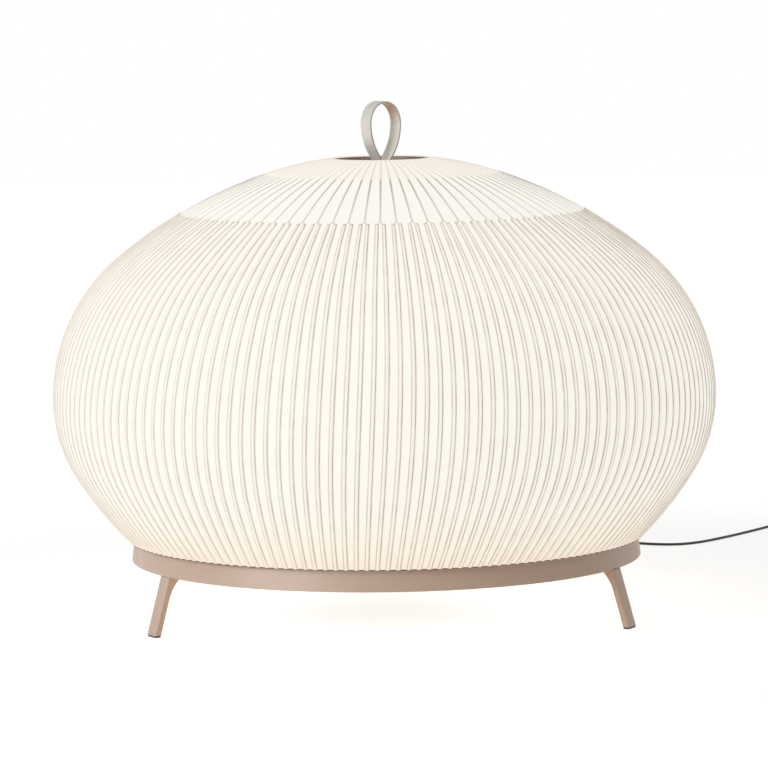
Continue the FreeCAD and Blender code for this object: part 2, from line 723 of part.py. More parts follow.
plate_cutters = compound([
    holes("sizes.swivel_radius + sizes.swivel_play", "sizes.plate_thickness * 3",
          f"{PLATE_BOTTOM} - sizes.plate_thickness", [("0", "0")]),
    holes(SMALL_HOLE, "sizes.plate_thickness * 3", f"{PLATE_BOTTOM} - sizes.plate_thickness",
          around(PLATE_SCREW, LEG_ANGLES)),
    holes(SMALL_HOLE, "sizes.plate_thickness * 3", f"{PLATE_BOTTOM} - sizes.plate_thickness",
          around("sizes.stem_screw_circle", BETWEEN_LEGS)),
])
plate_blank = cylinder(f"{DISH_IN} - sizes.hole_clearance", "sizes.plate_thickness", PLATE_BOTTOM)
node(cut(plate_blank, plate_cutters), "top_plate")
plate_top = sheet.evalExpression(PLATE_TOP)
plate_bottom = sheet.evalExpression(PLATE_BOTTOM)
dish_bottom = sheet.evalExpression(DISH_BOTTOM)
plate_screw_places = [on_circle(sheet.evalExpression(PLATE_SCREW), angle, plate_top) for angle in leg_angles]
node(screws(plate_screw_places, size("small_screw_radius"), plate_top - dish_bottom, size("small_head_radius"),
            size("small_head_height"), down=True), "plate_screws")

stem_blank = cylinder("sizes.stem_radius", f"{PLATE_BOTTOM} - {HUB_TOP}", HUB_TOP)
stem_bore = cylinder("sizes.stem_radius - sizes.stem_wall", f"{PLATE_BOTTOM} - {HUB_TOP}", HUB_TOP)
node(cut(stem_blank, stem_bore), "stem_tube")
SLEEVE_BORE = "(sizes.stem_radius + sizes.collar_bore_gap)"


def stem_collar(seat, way, label):
    """Turned collar that holds one end of the stem; way is + above its seat and - below it."""
    blank = turned([
        (SLEEVE_BORE, seat),
        ("sizes.stem_flange_radius", seat),
        ("sizes.stem_flange_radius", f"{seat} {way} sizes.stem_flange_height"),
        ("sizes.stem_sleeve_radius", f"{seat} {way} sizes.stem_flange_height"),
        ("sizes.stem_sleeve_radius", f"{seat} {way} sizes.stem_sleeve_height"),
        (SLEEVE_BORE, f"{seat} {way} sizes.stem_sleeve_height"),
    ])
    drill = holes(SMALL_HOLE, "sizes.stem_flange_height * 4", f"{seat} - sizes.stem_flange_height * 2",
                  stem_screw_places)
    return node(cut(blank, drill), label)


stem_collar(HUB_TOP, "+", "stem_foot")
stem_collar(PLATE_BOTTOM, "-", "stem_head")


def stem_screw_set(height, grip, label):
    places = [on_circle(size("stem_screw_circle"), angle, height) for angle in between_legs]
    node(screws(places, size("small_screw_radius"), grip, size("small_head_radius"), size("small_head_height"),
                down=True), label)


stem_screw_set(hub_top + size("stem_flange_height"), size("stem_flange_height") + size("hub_thickness"),
               "foot_screws")
stem_screw_set(plate_top, size("plate_thickness") + size("stem_flange_height"), "head_screws")

# Handle: strap loop in a clamp that swivels on a stud

handle_spin = Placement(Vector(), Rotation(UP, size("handle_turn")))


def turned_with_handle(item, label):
    item.Placement = handle_spin
    item.setExpression("Placement.Rotation.Angle", "sizes.handle_turn")
    return node(item, label)


CLAMP_FOOT = f"({PLATE_TOP} + sizes.swivel_float)"
SLOT = "(2 * sizes.strap_thickness + 4 * sizes.strap_play)"
CLAMP_DEPTH = f"({SLOT} + 2 * sizes.clamp_wall)"
CLAMP_LENGTH = "(sizes.strap_width + 2 * sizes.clamp_end)"
clamp_block = box(CLAMP_DEPTH, CLAMP_LENGTH, "sizes.clamp_height",
                  f"-{CLAMP_DEPTH} / 2", f"-{CLAMP_LENGTH} / 2", CLAMP_FOOT)
clamp_slot = box(SLOT, f"{CLAMP_LENGTH} * 2", "sizes.clamp_height",
                 f"-{SLOT} / 2", f"-{CLAMP_LENGTH}", f"{CLAMP_FOOT} + sizes.clamp_base")
stud = cylinder("sizes.swivel_radius", "sizes.stud_length + sizes.clamp_base / 2",
                f"{CLAMP_FOOT} - sizes.stud_length")
clamp_foot = sheet.evalExpression(CLAMP_FOOT)
clamp_depth = sheet.evalExpression(CLAMP_DEPTH)


def rivets(radius):
    """Two pins across the clamp."""
    shapes = []
    for side in (-1, 1):
        start = Vector(-clamp_depth / 2, side * size("rivet_spacing") / 2, clamp_foot + size("rivet_height"))
        shapes.append(Part.makeCylinder(radius, clamp_depth, start, Vector(1, 0, 0)))
    return Part.makeCompound(shapes)


rivet_hole = feature(rivets(size("rivet_radius") + size("hole_clearance") / 2))
turned_with_handle(cut(fuse(cut(clamp_block, clamp_slot), stud), rivet_hole), "handle_clamp")
turned_with_handle(feature(rivets(size("rivet_radius"))), "strap_rivets")

nut_blank = cylinder("sizes.swivel_nut_radius", "sizes.swivel_nut_height",
                     f"{PLATE_BOTTOM} - sizes.swivel_float - sizes.swivel_nut_height")
nut_bore = cylinder("sizes.swivel_radius + sizes.thread_gap", "sizes.swivel_nut_height",
                    f"{PLATE_BOTTOM} - sizes.swivel_float - sizes.swivel_nut_height")
turned_with_handle(cut(nut_blank, nut_bore), "swivel_nut")

strap_half = size("strap_thickness") / 2
tail_x = -(strap_half + size("strap_play"))
tail_foot = Vector(tail_x, 0, clamp_foot + size("clamp_base") + 2 * size("strap_play"))
tail_end = Vector(tail_x, 0, clamp_foot + size("clamp_height"))
lean = math.radians(size("loop_lean"))
lean_way = Vector(-math.sin(lean), 0, math.cos(lean))
bend_end = tail_end + Vector(math.cos(lean) - 1, 0, math.sin(lean)) * size("strap_bend")
loop_top = size("opening_height") + size("loop_height")
loop_side = Vector(strap_half - size("loop_width") / 2, 0, loop_top - size("loop_drop"))
loop_crest = Vector(0, 0, loop_top - strap_half)
half_loop = [arc_towards(tail_foot, UP, tail_end), arc_towards(tail_end, UP, bend_end)]
half_loop += biarc(bend_end, lean_way, loop_side, UP)
half_loop += biarc(loop_side, UP, loop_crest, Vector(1, 0, 0))


def mirrored(arc):
    """The arc on the other half of the loop, travelled the other way."""
    def flip(point):
        return Vector(-point.x, point.y, point.z)
    return Arc(flip(arc.end), flip(arc.middle), flip(arc.start), -flip(arc.end_way), -flip(arc.start_way))


strap_arcs = half_loop + [mirrored(arc) for arc in reversed(half_loop)]
strap_face = strip(strap_arcs, strap_half, -strap_half, ACROSS)
strap_face.translate(Vector(0, -size("strap_width") / 2, 0))
strap_solid = strap_face.extrude(Vector(0, size("strap_width"), 0))
strap_blank = feature(strap_solid)
turned_with_handle(cut(strap_blank, feature(rivets(size("rivet_radius") + size("hole_clearance") / 2))),
                   "handle_strap")

# Lampholders and bulbs

SOCKET_FLOOR = f"({HUB_TOP} + sizes.holder_height - sizes.socket_depth)"
CAP_FOOT = f"({SOCKET_FLOOR} + sizes.socket_gap)"
CAP_TOP = f"({CAP_FOOT} + sizes.cap_length)"
NECK_TOP = f"({CAP_TOP} + sizes.neck_height)"


def bulb_form(inset, x, y):
    """Globe on a tapering neck; the inset gives the hollow inside."""
    neck = doc.addObject("Part::Cone", "neck")
    bind(neck, {
        "Radius1": f"sizes.cap_radius - {inset}",
        "Radius2": f"sizes.bulb_radius * 0.6 - {inset}",
        "Height": "sizes.neck_height",
        "Placement.Base.x": x,
        "Placement.Base.y": y,
        "Placement.Base.z": CAP_TOP,
    })
    globe = doc.addObject("Part::Sphere", "globe")
    bind(globe, {
        "Radius": f"sizes.bulb_radius - {inset}",
        "Placement.Base.x": x,
        "Placement.Base.y": y,
        "Placement.Base.z": f"{NECK_TOP} + sizes.bulb_radius * 0.8",
    })
    return fuse(neck, globe)


for number, (x, y) in enumerate(around("sizes.holder_circle", BETWEEN_LEGS), start=1):
    holder = cylinder("sizes.holder_radius", "sizes.holder_height", HUB_TOP, x, y)
    socket = cylinder("sizes.cap_radius + sizes.socket_gap", "sizes.socket_depth * 2", SOCKET_FLOOR, x, y)
    node(cut(holder, socket), f"lampholder_{number}")
    cap = cylinder("sizes.cap_radius", "sizes.cap_length", CAP_FOOT, x, y)
    cap_space = cylinder("sizes.cap_radius - sizes.bulb_wall", "sizes.cap_length", f"{CAP_FOOT} + sizes.bulb_wall", x, y)
    node(cut(cap, cap_space), f"bulb_cap_{number}")
    node(cut(bulb_form("0", x, y), bulb_form("sizes.bulb_wall", x, y)), f"bulb_{number}")

# Terminal box under the hub, and the strain relief of the lead

BOX_FLOOR = f"({ARM_TOP} - sizes.box_height)"
BOX_LEFT = "(sizes.box_x - sizes.box_length / 2)"
BOX_FRONT = "(sizes.box_y - sizes.box_depth / 2)"
BOX_BACK = "(sizes.box_y + sizes.box_depth / 2)"
box_shell = box("sizes.box_length", "sizes.box_depth", "sizes.box_height", BOX_LEFT, BOX_FRONT, BOX_FLOOR)
box_inside = box("sizes.box_length - 2 * sizes.box_wall", "sizes.box_depth - 2 * sizes.box_wall",
                 "sizes.box_height", f"{BOX_LEFT} + sizes.box_wall", f"{BOX_FRONT} + sizes.box_wall",
                 f"{BOX_FLOOR} + sizes.box_wall")
node(cut(box_shell, box_inside), "terminal_box")
node(box("sizes.block_length", "sizes.block_depth", "sizes.block_height",
         "sizes.box_x - sizes.block_length / 2", "sizes.box_y - sizes.block_depth / 2",
         f"{BOX_FLOOR} + sizes.box_wall"), "terminal_block")
relief = doc.addObject("Part::Cone", "relief")
relief.Placement = Placement(Vector(), Rotation(Vector(1, 0, 0), -90))
bind(relief, {
    "Radius1": "sizes.relief_radius",
    "Radius2": "sizes.relief_tip",
    "Height": "sizes.relief_length",
    "Placement.Base.x": "sizes.box_x",
    "Placement.Base.y": BOX_BACK,
    "Placement.Base.z": "sizes.cord_exit_height",
})
node(relief, "strain_relief")

# Mains lead: two free stretches, a foot switch between them, a put-away coil and a plug

floor_line = size("floor_gap") + size("cord_radius")
switch_line = size("switch_base_height")
coil_line = floor_line + size("tie_wall") + size("seat_gap")
relief_tip = Vector(size("box_x"), sheet.evalExpression(BOX_BACK) + size("relief_length"), size("cord_exit_height"))
LAMP_ROUTE = [
    relief_tip,
    relief_tip + Vector(0, size("relief_lead"), -1),
    Vector(54, 150, 62),
    Vector(62, 180, 38),
    Vector(73, 212, 14),
    Vector(87, 250, floor_line),
    Vector(101, 290, floor_line),
    Vector(112.2, 324, switch_line),
    Vector(117.4, 343.3, switch_line),
]
switch_way = (LAMP_ROUTE[-1] - LAMP_ROUTE[-2]).normalize()
switch_end = LAMP_ROUTE[-1] + switch_way * size("switch_length")
PLUG_ROUTE = [
    switch_end,
    switch_end + switch_way * size("switch_lead"),
    Vector(150, 462, floor_line),
    Vector(166, 505, floor_line),
    Vector(190, 543, floor_line),
    Vector(228, 566, floor_line),
    Vector(272, 562, floor_line),
    Vector(312, 541, floor_line),
    Vector(346, 519, floor_line),
    Vector(380, 513, floor_line),
    Vector(409, 532, floor_line),
    Vector(436, 564, floor_line),
    Vector(466, 604.5, floor_line),
    Vector(490, 640, floor_line),
    Vector(513, 675, floor_line),
    Vector(530, 703, coil_line),
    Vector(545, 730, coil_line),
]
BEND_SHARE = 0.45


def cord_arcs(points, label):
    """Straight runs joined by arcs as large as the runs allow."""
    arcs = []
    radii = []
    here = points[0]
    for before, corner, after in zip(points, points[1:], points[2:]):
        way_in = (corner - before).normalize()
        way_out = (after - corner).normalize()
        reach = BEND_SHARE * min((corner - before).Length, (after - corner).Length)
        start = corner - way_in * reach
        end = corner + way_out * reach
        arcs.append(Arc(here, (here + start) * 0.5, start, way_in, way_in))
        arcs.append(arc_towards(start, way_in, end))
        radii.append(reach / math.tan(way_in.getAngle(way_out) / 2))
        here = end
    way = (points[-1] - points[-2]).normalize()
    arcs.append(Arc(here, (here + points[-1]) * 0.5, points[-1], way, way))
    print(label, "bend radii", [round(radius) for radius in radii])
    return arcs


def cord_tube(arcs, label):
    tube = pipe(arcs, size("cord_radius"))
    length = sum(edge_of(arc).Length for arc in arcs)
    section = math.pi * size("cord_radius") ** 2
    print(label, "length", round(length, 1), "volume over section times length", tube.Volume / (section * length))
    return node(feature(tube), label)


cord_tube(cord_arcs(LAMP_ROUTE, "cord_lamp_side"), "cord_lamp_side")
cord_tube(cord_arcs(PLUG_ROUTE, "cord_plug_side"), "cord_plug_side")

coil_pitch = 2 * size("cord_radius") + size("coil_gap")
coil_start = PLUG_ROUTE[-1]
coil_way = (PLUG_ROUTE[-1] - PLUG_ROUTE[-2]).normalize()
coil_lead = coil_start + coil_way * (2 * size("cord_radius"))
coil_middle = coil_lead + Vector(coil_way.y, -coil_way.x, 0) * size("coil_radius")
first_angle = math.atan2(coil_lead.y - coil_middle.y, coil_lead.x - coil_middle.x)
layer_turn = 2 * math.pi * size("coil_turns")
inner_radius = size("coil_radius") - coil_pitch * size("coil_turns")
whole_turn = 2 * layer_turn + math.pi


def coil_point(turn):
    """Middle of the lead: in along the lower layer, up over half a turn, out along the upper layer."""
    rate = coil_pitch / (2 * math.pi)
    if turn <= layer_turn:
        radius = size("coil_radius") - rate * turn
        height = coil_start.z
    elif turn <= layer_turn + math.pi:
        part = turn - layer_turn
        radius = inner_radius - rate * (part - part ** 2 / math.pi)
        height = coil_start.z + coil_pitch * (1 - math.cos(part)) / 2
    else:
        radius = inner_radius + rate * (turn - layer_turn - math.pi)
        height = coil_start.z + coil_pitch
    angle = first_angle - turn
    return coil_middle + Vector(radius * math.cos(angle), radius * math.sin(angle), height - coil_middle.z)


def coil_direction(turn):
    step = 1e-5
    low = max(0.0, turn - step)
    high = min(whole_turn, turn + step)
    return (coil_point(high) - coil_point(low)).normalize()


quarter = math.pi / 2
coil_arcs = [Arc(coil_start, (coil_start + coil_lead) * 0.5, coil_lead, coil_way, coil_way)]
last_way = coil_way
for i in range(round(whole_turn / quarter)):
    next_way = coil_direction((i + 1) * quarter)
    coil_arcs += biarc(coil_point(i * quarter), last_way, coil_point((i + 1) * quarter), next_way)
    last_way = next_way
coil_end = coil_arcs[-1].end
tail_tip = coil_end + last_way * size("plug_lead")
coil_arcs.append(Arc(coil_end, (coil_end + tail_tip) * 0.5, tail_tip, last_way, last_way))
cord_tube(coil_arcs, "cord_coil")


def coil_self_gap():
    """Least distance between turns, on points along the middle of the lead."""
    wire = Part.Wire([edge_of(arc) for arc in coil_arcs])
    points = wire.discretize(Number=700)
    apart = int(len(points) * quarter / whole_turn)
    pairs = ((p, q) for i, p in enumerate(points) for q in points[i + apart:])
    return min((p - q).Length for p, q in pairs) - 2 * size("cord_radius")


print("cord_coil least gap to itself", round(coil_self_gap(), 3))

# Tie round the coil's section, where both layers lie flat
tie_angle = first_angle + math.pi / 2
strand_radii = []
for i in range(int(2 * size("coil_turns")) + 1):
    turn = -math.pi / 2 % (2 * math.pi) + i * 2 * math.pi
    if turn < whole_turn:
        strand = coil_point(turn) - coil_middle
        strand_radii.append(math.hypot(strand.x, strand.y))
around_cord = size("cord_radius") + size("seat_gap")
tie_inner = min(strand_radii) - around_cord
tie_outer = max(strand_radii) + around_cord
tie_low = coil_start.z - around_cord
tie_high = coil_start.z + coil_pitch + around_cord
tie_block = Part.makeBox(tie_outer - tie_inner + 2 * size("tie_wall"), size("tie_width"),
                         tie_high - tie_low + 2 * size("tie_wall"),
                         Vector(tie_inner - size("tie_wall"), -size("tie_width") / 2, tie_low - size("tie_wall")))
tie_space = Part.makeBox(tie_outer - tie_inner, 2 * size("tie_width"), tie_high - tie_low,
                         Vector(tie_inner, -size("tie_width"), tie_low))
tie = feature(tie_block.cut(tie_space))
tie.Placement = Placement(Vector(coil_middle.x, coil_middle.y, 0), Rotation(UP, math.degrees(tie_angle)))
node(tie, "coil_tie")

# Foot switch, built along X about its middle and laid on the lead's line
switch_middle = LAMP_ROUTE[-1] + switch_way * (size("switch_length") / 2)
switch_place = Placement(Vector(switch_middle.x, switch_middle.y, 0),
                         Rotation(UP, math.degrees(math.atan2(switch_way.y, switch_way.x))))


def laid(item, place, label):
    item.Placement = place
    return node(item, label)


def switch_half(foot, height, space_foot, space_height):
    """Half of the switch housing: a rounded block with a pocket."""
    block = box("sizes.switch_length", "sizes.switch_width", height,
                "-sizes.switch_length / 2", "-sizes.switch_width / 2", foot)
    space = box("sizes.switch_length - 2 * sizes.switch_wall", "sizes.switch_width - 2 * sizes.switch_wall",
                space_height, "sizes.switch_wall - sizes.switch_length / 2",
                "sizes.switch_wall - sizes.switch_width / 2", space_foot)
    return cut(rounded(block, size("switch_corner"), is_upright), space)


laid(switch_half("0", "sizes.switch_base_height", "sizes.switch_wall", "sizes.switch_height"),
     switch_place, "switch_base")


def is_switch_rim(edge):
    """The upper outside edge of the switch."""
    at_top = all(abs(vertex.Point.z - size("switch_height")) < 1e-6 for vertex in edge.Vertexes)
    return at_top


cover_shell = switch_half("sizes.switch_base_height", "sizes.switch_height - sizes.switch_base_height",
                          "0", "sizes.switch_height - sizes.switch_wall")
button_hole = cylinder("sizes.button_radius + sizes.button_play", "sizes.switch_height * 2")
soft_shell = rounded(cover_shell, size("switch_edge"), is_switch_rim)
laid(cut(soft_shell, button_hole), switch_place, "switch_cover")
FLANGE_TOP = "(sizes.switch_height - sizes.switch_wall - sizes.button_play)"
button_flange = cylinder("sizes.button_radius + sizes.button_flange", "sizes.button_flange",
                         f"{FLANGE_TOP} - sizes.button_flange")
button_stalk = cylinder("sizes.button_radius",
                        f"sizes.switch_height + sizes.button_proud - ({FLANGE_TOP} - sizes.button_flange)",
                        f"{FLANGE_TOP} - sizes.button_flange")


def is_button_rim(edge):
    """The upper edge of the button."""
    return edge.BoundBox.ZMin > size("switch_height")


laid(rounded(fuse(button_stalk, button_flange), size("button_edge"), is_button_rim), switch_place, "switch_button")
laid(compound([box("sizes.button_radius * 2", "sizes.button_radius", "sizes.switch_base_height / 2",
                   "-sizes.button_radius", "-sizes.button_radius / 2", "sizes.switch_wall")]),
     switch_place, "switch_contacts")

# Plug on the upper end of the coil
plug_place = Placement(tail_tip, Rotation(UP, math.degrees(math.atan2(last_way.y, last_way.x))))
plug_tail = doc.addObject("Part::Cone", "plug_tail")
plug_tail.Placement = Placement(Vector(), Rotation(Vector(0, 1, 0), 90))
bind(plug_tail, {
    "Radius1": "sizes.cord_radius + 1.2",
    "Radius2": "sizes.plug_tail_radius",
    "Height": "sizes.plug_tail",
})


def is_plug_rim(edge):
    """The edges round the plug's flat sides."""
    heights = [vertex.Point.z for vertex in edge.Vertexes]
    return abs(abs(heights[0]) - plug_half) < 1e-6 and abs(heights[0] - heights[-1]) < 1e-6


plug_half = tail_tip.z - size("floor_gap")
plug_block = box("sizes.plug_length", "sizes.plug_width", f"2 * {plug_half}",
                 "sizes.plug_tail", "-sizes.plug_width / 2", f"-{plug_half}")
plug_blank = rounded(plug_block, size("plug_corner"), is_upright)
soft_plug = rounded(plug_blank, size("plug_edge"), is_plug_rim)
laid(fuse(soft_plug, plug_tail), plug_place, "plug_body")
pins = []
for side in (-1, 1):
    pin = doc.addObject("Part::Cylinder", "pin")
    pin.Placement = Placement(Vector(), Rotation(Vector(0, 1, 0), 90))
    bind(pin, {
        "Radius": "sizes.pin_radius",
        "Height": "sizes.pin_length",
        "Placement.Base.x": "sizes.plug_tail + sizes.plug_length",
        "Placement.Base.y": f"{side} * sizes.pin_spacing / 2",
    })
    pins.append(pin)
laid(compound(pins), plug_place, "plug_pins")

# Check and write
doc.recompute()
for item in doc.Objects:
    if "Invalid" in item.State or "Error" in item.State:
        raise RuntimeError(f"{item.Name} {item.Label} failed: {item.State}")
os.makedirs("parts", exist_ok=True)
for item in NODES:
    shape = item.Shape
    if shape.isNull() or not shape.isValid() or not shape.Solids:
        raise RuntimeError(f"{item.Label} has no valid solid")
for item in NODES:
    item.Shape.exportStep(f"parts/{item.Label}.step")
print(len(NODES), "nodes written")
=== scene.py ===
# %% [markdown]
# # A ribbed floor lamp
# This lesson dresses the solid model of a low, wide floor lamp. A knitted shade is stretched over many
# upright ribs, it stands on a painted ring with three splayed legs, a strap loop lets you pick it up, and a
# thin black lead runs away over the floor. The solids arrive ready made, so the lesson is about what Blender
# adds to them: cloth, a leather strap, a lead that lies naturally, finishes, light and a camera.

import json
import math
from collections import namedtuple

import bmesh
import bpy
from mathutils import Matrix, Vector


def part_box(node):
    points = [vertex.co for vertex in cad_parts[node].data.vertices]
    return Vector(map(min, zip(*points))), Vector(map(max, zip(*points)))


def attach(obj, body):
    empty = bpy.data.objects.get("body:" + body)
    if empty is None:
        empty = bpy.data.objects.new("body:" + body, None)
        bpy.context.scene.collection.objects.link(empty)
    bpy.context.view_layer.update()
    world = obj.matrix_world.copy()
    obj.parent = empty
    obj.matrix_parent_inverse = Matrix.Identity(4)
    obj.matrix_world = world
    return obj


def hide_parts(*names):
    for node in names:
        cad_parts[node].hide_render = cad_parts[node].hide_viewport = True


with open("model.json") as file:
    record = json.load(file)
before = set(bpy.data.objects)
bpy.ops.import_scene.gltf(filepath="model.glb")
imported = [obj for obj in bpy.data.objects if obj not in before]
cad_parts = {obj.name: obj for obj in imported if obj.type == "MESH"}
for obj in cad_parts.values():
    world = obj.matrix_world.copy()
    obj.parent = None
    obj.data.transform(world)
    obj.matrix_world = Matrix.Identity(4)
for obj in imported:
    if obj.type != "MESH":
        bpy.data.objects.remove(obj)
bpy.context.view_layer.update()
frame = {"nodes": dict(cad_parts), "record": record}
nodes = frame["nodes"]
MM = 0.001

# %% [markdown]
# ## The camera
# The photograph was taken from a little above the lamp's middle and from far away, with a long lens, so the
# ring's curve is shallow. A camera object looks down its own -Z axis. It is tipped up by a little less than a
# right angle to look almost level, and rolled by less than a degree because the horizon of the picture is not
# quite level. Setting the whole matrix at once keeps these three steps in plain sight.

# %% Camera
PIXELS = 768
CAMERA_PLACE = (-0.00035, -5.1254, 0.805)
LOOK_DOWN = math.radians(5.956)
ROLL = math.radians(-0.746)
lens = bpy.data.cameras.new("photo_camera")
lens.lens = 205.2
lens.sensor_width = 36.0
camera = bpy.data.objects.new("photo_camera", lens)
bpy.context.scene.collection.objects.link(camera)
camera.matrix_world = (
    Matrix.Translation(CAMERA_PLACE)
    @ Matrix.Rotation(math.pi / 2 - LOOK_DOWN, 4, "X")
    @ Matrix.Rotation(ROLL, 4, "Z")
)
bpy.context.scene.camera = camera
bpy.context.scene.view_settings.view_transform = "Standard"
picture_width = -CAMERA_PLACE[1] * lens.sensor_width / lens.lens
print("millimetres per pixel at the lamp:", round(picture_width / PIXELS / MM, 3))

# %% [markdown]
# ## The lead
# A lead is one long flexible thing, so it is a curve and not a mesh. A NURBS spline of order 3 is pulled
# towards its points without passing through them, which gives the slack bends of rubber. The tube is as thick
# as the curve's bevel depth times the radius of its points, so here the points carry the lead's radius. The
# order and the end points are set after the points are added, because a new spline with one point cannot hold
# them yet.

# %% A helper for leads
LEAD_RADIUS = 1.75 * MM
FLOOR_LINE = 1.95
SWITCH_LINE = 9.0
SWITCH_MOUTH = (112.2, 324.0)
SWITCH_ENTRY = (117.4, 343.3)
SWITCH_LENGTH = 70.0
SLEEVE_LENGTH = 20.0


def flat_way(start, end):
    """Direction on the floor from one place to another."""
    return Vector((end[0] - start[0], end[1] - start[1], 0.0)).normalized()


def lead_along(name, route):
    """A round lead whose middle line is drawn towards the points of a route, given in millimetres."""
    curve = bpy.data.curves.new(name, "CURVE")
    curve.dimensions = "3D"
    spline = curve.splines.new("NURBS")
    spline.points.add(len(route) - 1)
    for point, place in zip(spline.points, route):
        point.co = (place[0] * MM, place[1] * MM, place[2] * MM, 1.0)
        point.radius = LEAD_RADIUS
    spline.order_u = 3
    spline.use_endpoint_u = True
    spline.resolution_u = 6
    curve.bevel_depth = 1.0
    curve.bevel_resolution = 3
    curve.use_fill_caps = True
    piece = bpy.data.objects.new(name, curve)
    bpy.context.scene.collection.objects.link(piece)
    print(name, "has", len(route), "points")
    return piece


# %% From the lamp to the foot switch
lamp_route = [
    (50, 93, 75),
    (50, 118, 74),
    (54, 150, 62),
    (62, 180, 38),
    (73, 212, 14),
    (87, 250, FLOOR_LINE),
    (101, 290, FLOOR_LINE),
    (*SWITCH_MOUTH, SWITCH_LINE),
    (*SWITCH_ENTRY, SWITCH_LINE),
]
lead_lamp_side = lead_along("lead_lamp_side", lamp_route)
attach(lead_lamp_side, "lamp")
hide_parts("cord_lamp_side")

# %% [markdown]
# ## From the switch to the plug
# Behind the lamp the lead comes out of the switch, makes one lazy bend on the floor and leaves the picture on
# the right. The rest of it is spare length: it lies just outside the picture, wound in two flat layers of
# three turns. A turn is a loop of points with a radius that shrinks by one lead and a bit on the way in and
# grows again on the way out. A spline of order 3 runs slightly inside its points, so the points stand a
# little further out than the turns should be.

# %% The stretch on the floor
COIL_LINE = 3.15
COIL_APPROACH = (530.0, 703.0)
COIL_START = (545.0, 730.0)
switch_way = flat_way(SWITCH_MOUTH, SWITCH_ENTRY)
switch_end = Vector((*SWITCH_ENTRY, SWITCH_LINE)) + switch_way * SWITCH_LENGTH
floor_route = [
    switch_end,
    switch_end + switch_way * SLEEVE_LENGTH,
    (150, 462, FLOOR_LINE),
    (166, 505, FLOOR_LINE),
    (190, 543, FLOOR_LINE),
    (228, 566, FLOOR_LINE),
    (272, 562, FLOOR_LINE),
    (312, 541, FLOOR_LINE),
    (346, 519, FLOOR_LINE),
    (380, 513, FLOOR_LINE),
    (409, 532, FLOOR_LINE),
    (436, 564, FLOOR_LINE),
    (466, 604.5, FLOOR_LINE),
    (490, 640, FLOOR_LINE),
    (513, 675, FLOOR_LINE),
    (*COIL_APPROACH, COIL_LINE),
    (*COIL_START, COIL_LINE),
]
print("points on the floor:", len(floor_route))

# %% The wound spare length
POINTS_PER_TURN = 16
TURNS_PER_LAYER = 3
COIL_RADIUS = 32.5
COIL_PITCH = 4.05
COIL_RUN_IN = 3.5
PLUG_RUN = 15.0
coil_way = flat_way(COIL_APPROACH, COIL_START)
coil_lead = Vector((*COIL_START, COIL_LINE)) + coil_way * COIL_RUN_IN
coil_middle = coil_lead + Vector((coil_way.y, -coil_way.x, 0.0)) * COIL_RADIUS
first_angle = math.atan2(coil_lead.y - coil_middle.y, coil_lead.x - coil_middle.x)
run_inside = (3.0 + math.cos(2 * math.pi / POINTS_PER_TURN)) / 4.0


def coil_radius_and_rise(turns):
    """Radius and height above the first layer after a number of turns."""
    inner = COIL_RADIUS - COIL_PITCH * TURNS_PER_LAYER
    if turns <= TURNS_PER_LAYER:
        return COIL_RADIUS - COIL_PITCH * turns, 0.0
    climb = turns - TURNS_PER_LAYER
    if climb <= 0.5:
        dip = climb - 2.0 * climb ** 2
        return inner - COIL_PITCH * dip, COIL_PITCH * (1.0 - math.cos(2 * math.pi * climb)) / 2.0
    return inner + COIL_PITCH * (climb - 0.5), COIL_PITCH


def coil_place(turns, outwards):
    radius, rise = coil_radius_and_rise(turns)
    angle = first_angle - 2 * math.pi * turns
    flat = Vector((math.cos(angle), math.sin(angle), 0.0)) * (radius * outwards)
    return Vector((coil_middle.x, coil_middle.y, COIL_LINE + rise)) + flat


whole_turns = 2 * TURNS_PER_LAYER + 0.5
coil_route = [coil_lead]
for step in range(1, int(whole_turns * POINTS_PER_TURN)):
    coil_route.append(coil_place(step / POINTS_PER_TURN, 1.0 / run_inside))
coil_end = coil_place(whole_turns, 1.0)
print("points in the coil:", len(coil_route))

# %% One lead for both
end_angle = first_angle - 2 * math.pi * whole_turns
plug_way = Vector((math.sin(end_angle), -math.cos(end_angle), 0.0))
plug_tip = coil_end + plug_way * PLUG_RUN
lead_plug_side = lead_along("lead_plug_side", floor_route + coil_route + [coil_end, plug_tip])
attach(lead_plug_side, "lamp")
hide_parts("cord_plug_side", "cord_coil")

# %% Where the plug is
print("the plug hangs on the lead at", [round(value) for value in plug_tip])

# %% [markdown]
# ## Short words for node trees
# A material is a tree of nodes, and most nodes in this lesson do sums. Four small helpers keep the trees
# readable: one feeds a socket with a number, a colour or another node's output, one adds a Math node, one
# mixes two colours and one eases a value from one bound to another.

# %% Helpers for node trees
def feed(tree, socket, value):
    """Link an output to a socket, or write a plain value on it."""
    if isinstance(value, bpy.types.NodeSocket):
        tree.links.new(value, socket)
    else:
        socket.default_value = value


def sums(tree, operation, *values, clamp=False):
    node = tree.nodes.new("ShaderNodeMath")
    node.operation = operation
    node.use_clamp = clamp
    for socket, value in zip(node.inputs, values):
        feed(tree, socket, value)
    return node.outputs["Value"]


def mixed(tree, share, first, second):
    """Colour between two colours."""
    node = tree.nodes.new("ShaderNodeMix")
    node.data_type = "RGBA"
    feed(tree, node.inputs["Factor"], share)
    feed(tree, node.inputs["A"], first)
    feed(tree, node.inputs["B"], second)
    return node.outputs["Result"]


def ramp(tree, value, low, high, to_low=0.0, to_high=1.0):
    """Smooth step of a value between two bounds."""
    node = tree.nodes.new("ShaderNodeMapRange")
    node.interpolation_type = "SMOOTHSTEP"
    feed(tree, node.inputs["Value"], value)
    node.inputs["From Min"].default_value = low
    node.inputs["From Max"].default_value = high
    node.inputs["To Min"].default_value = to_low
    node.inputs["To Max"].default_value = to_high
    return node.outputs["Result"]


print("helpers for node trees are ready")

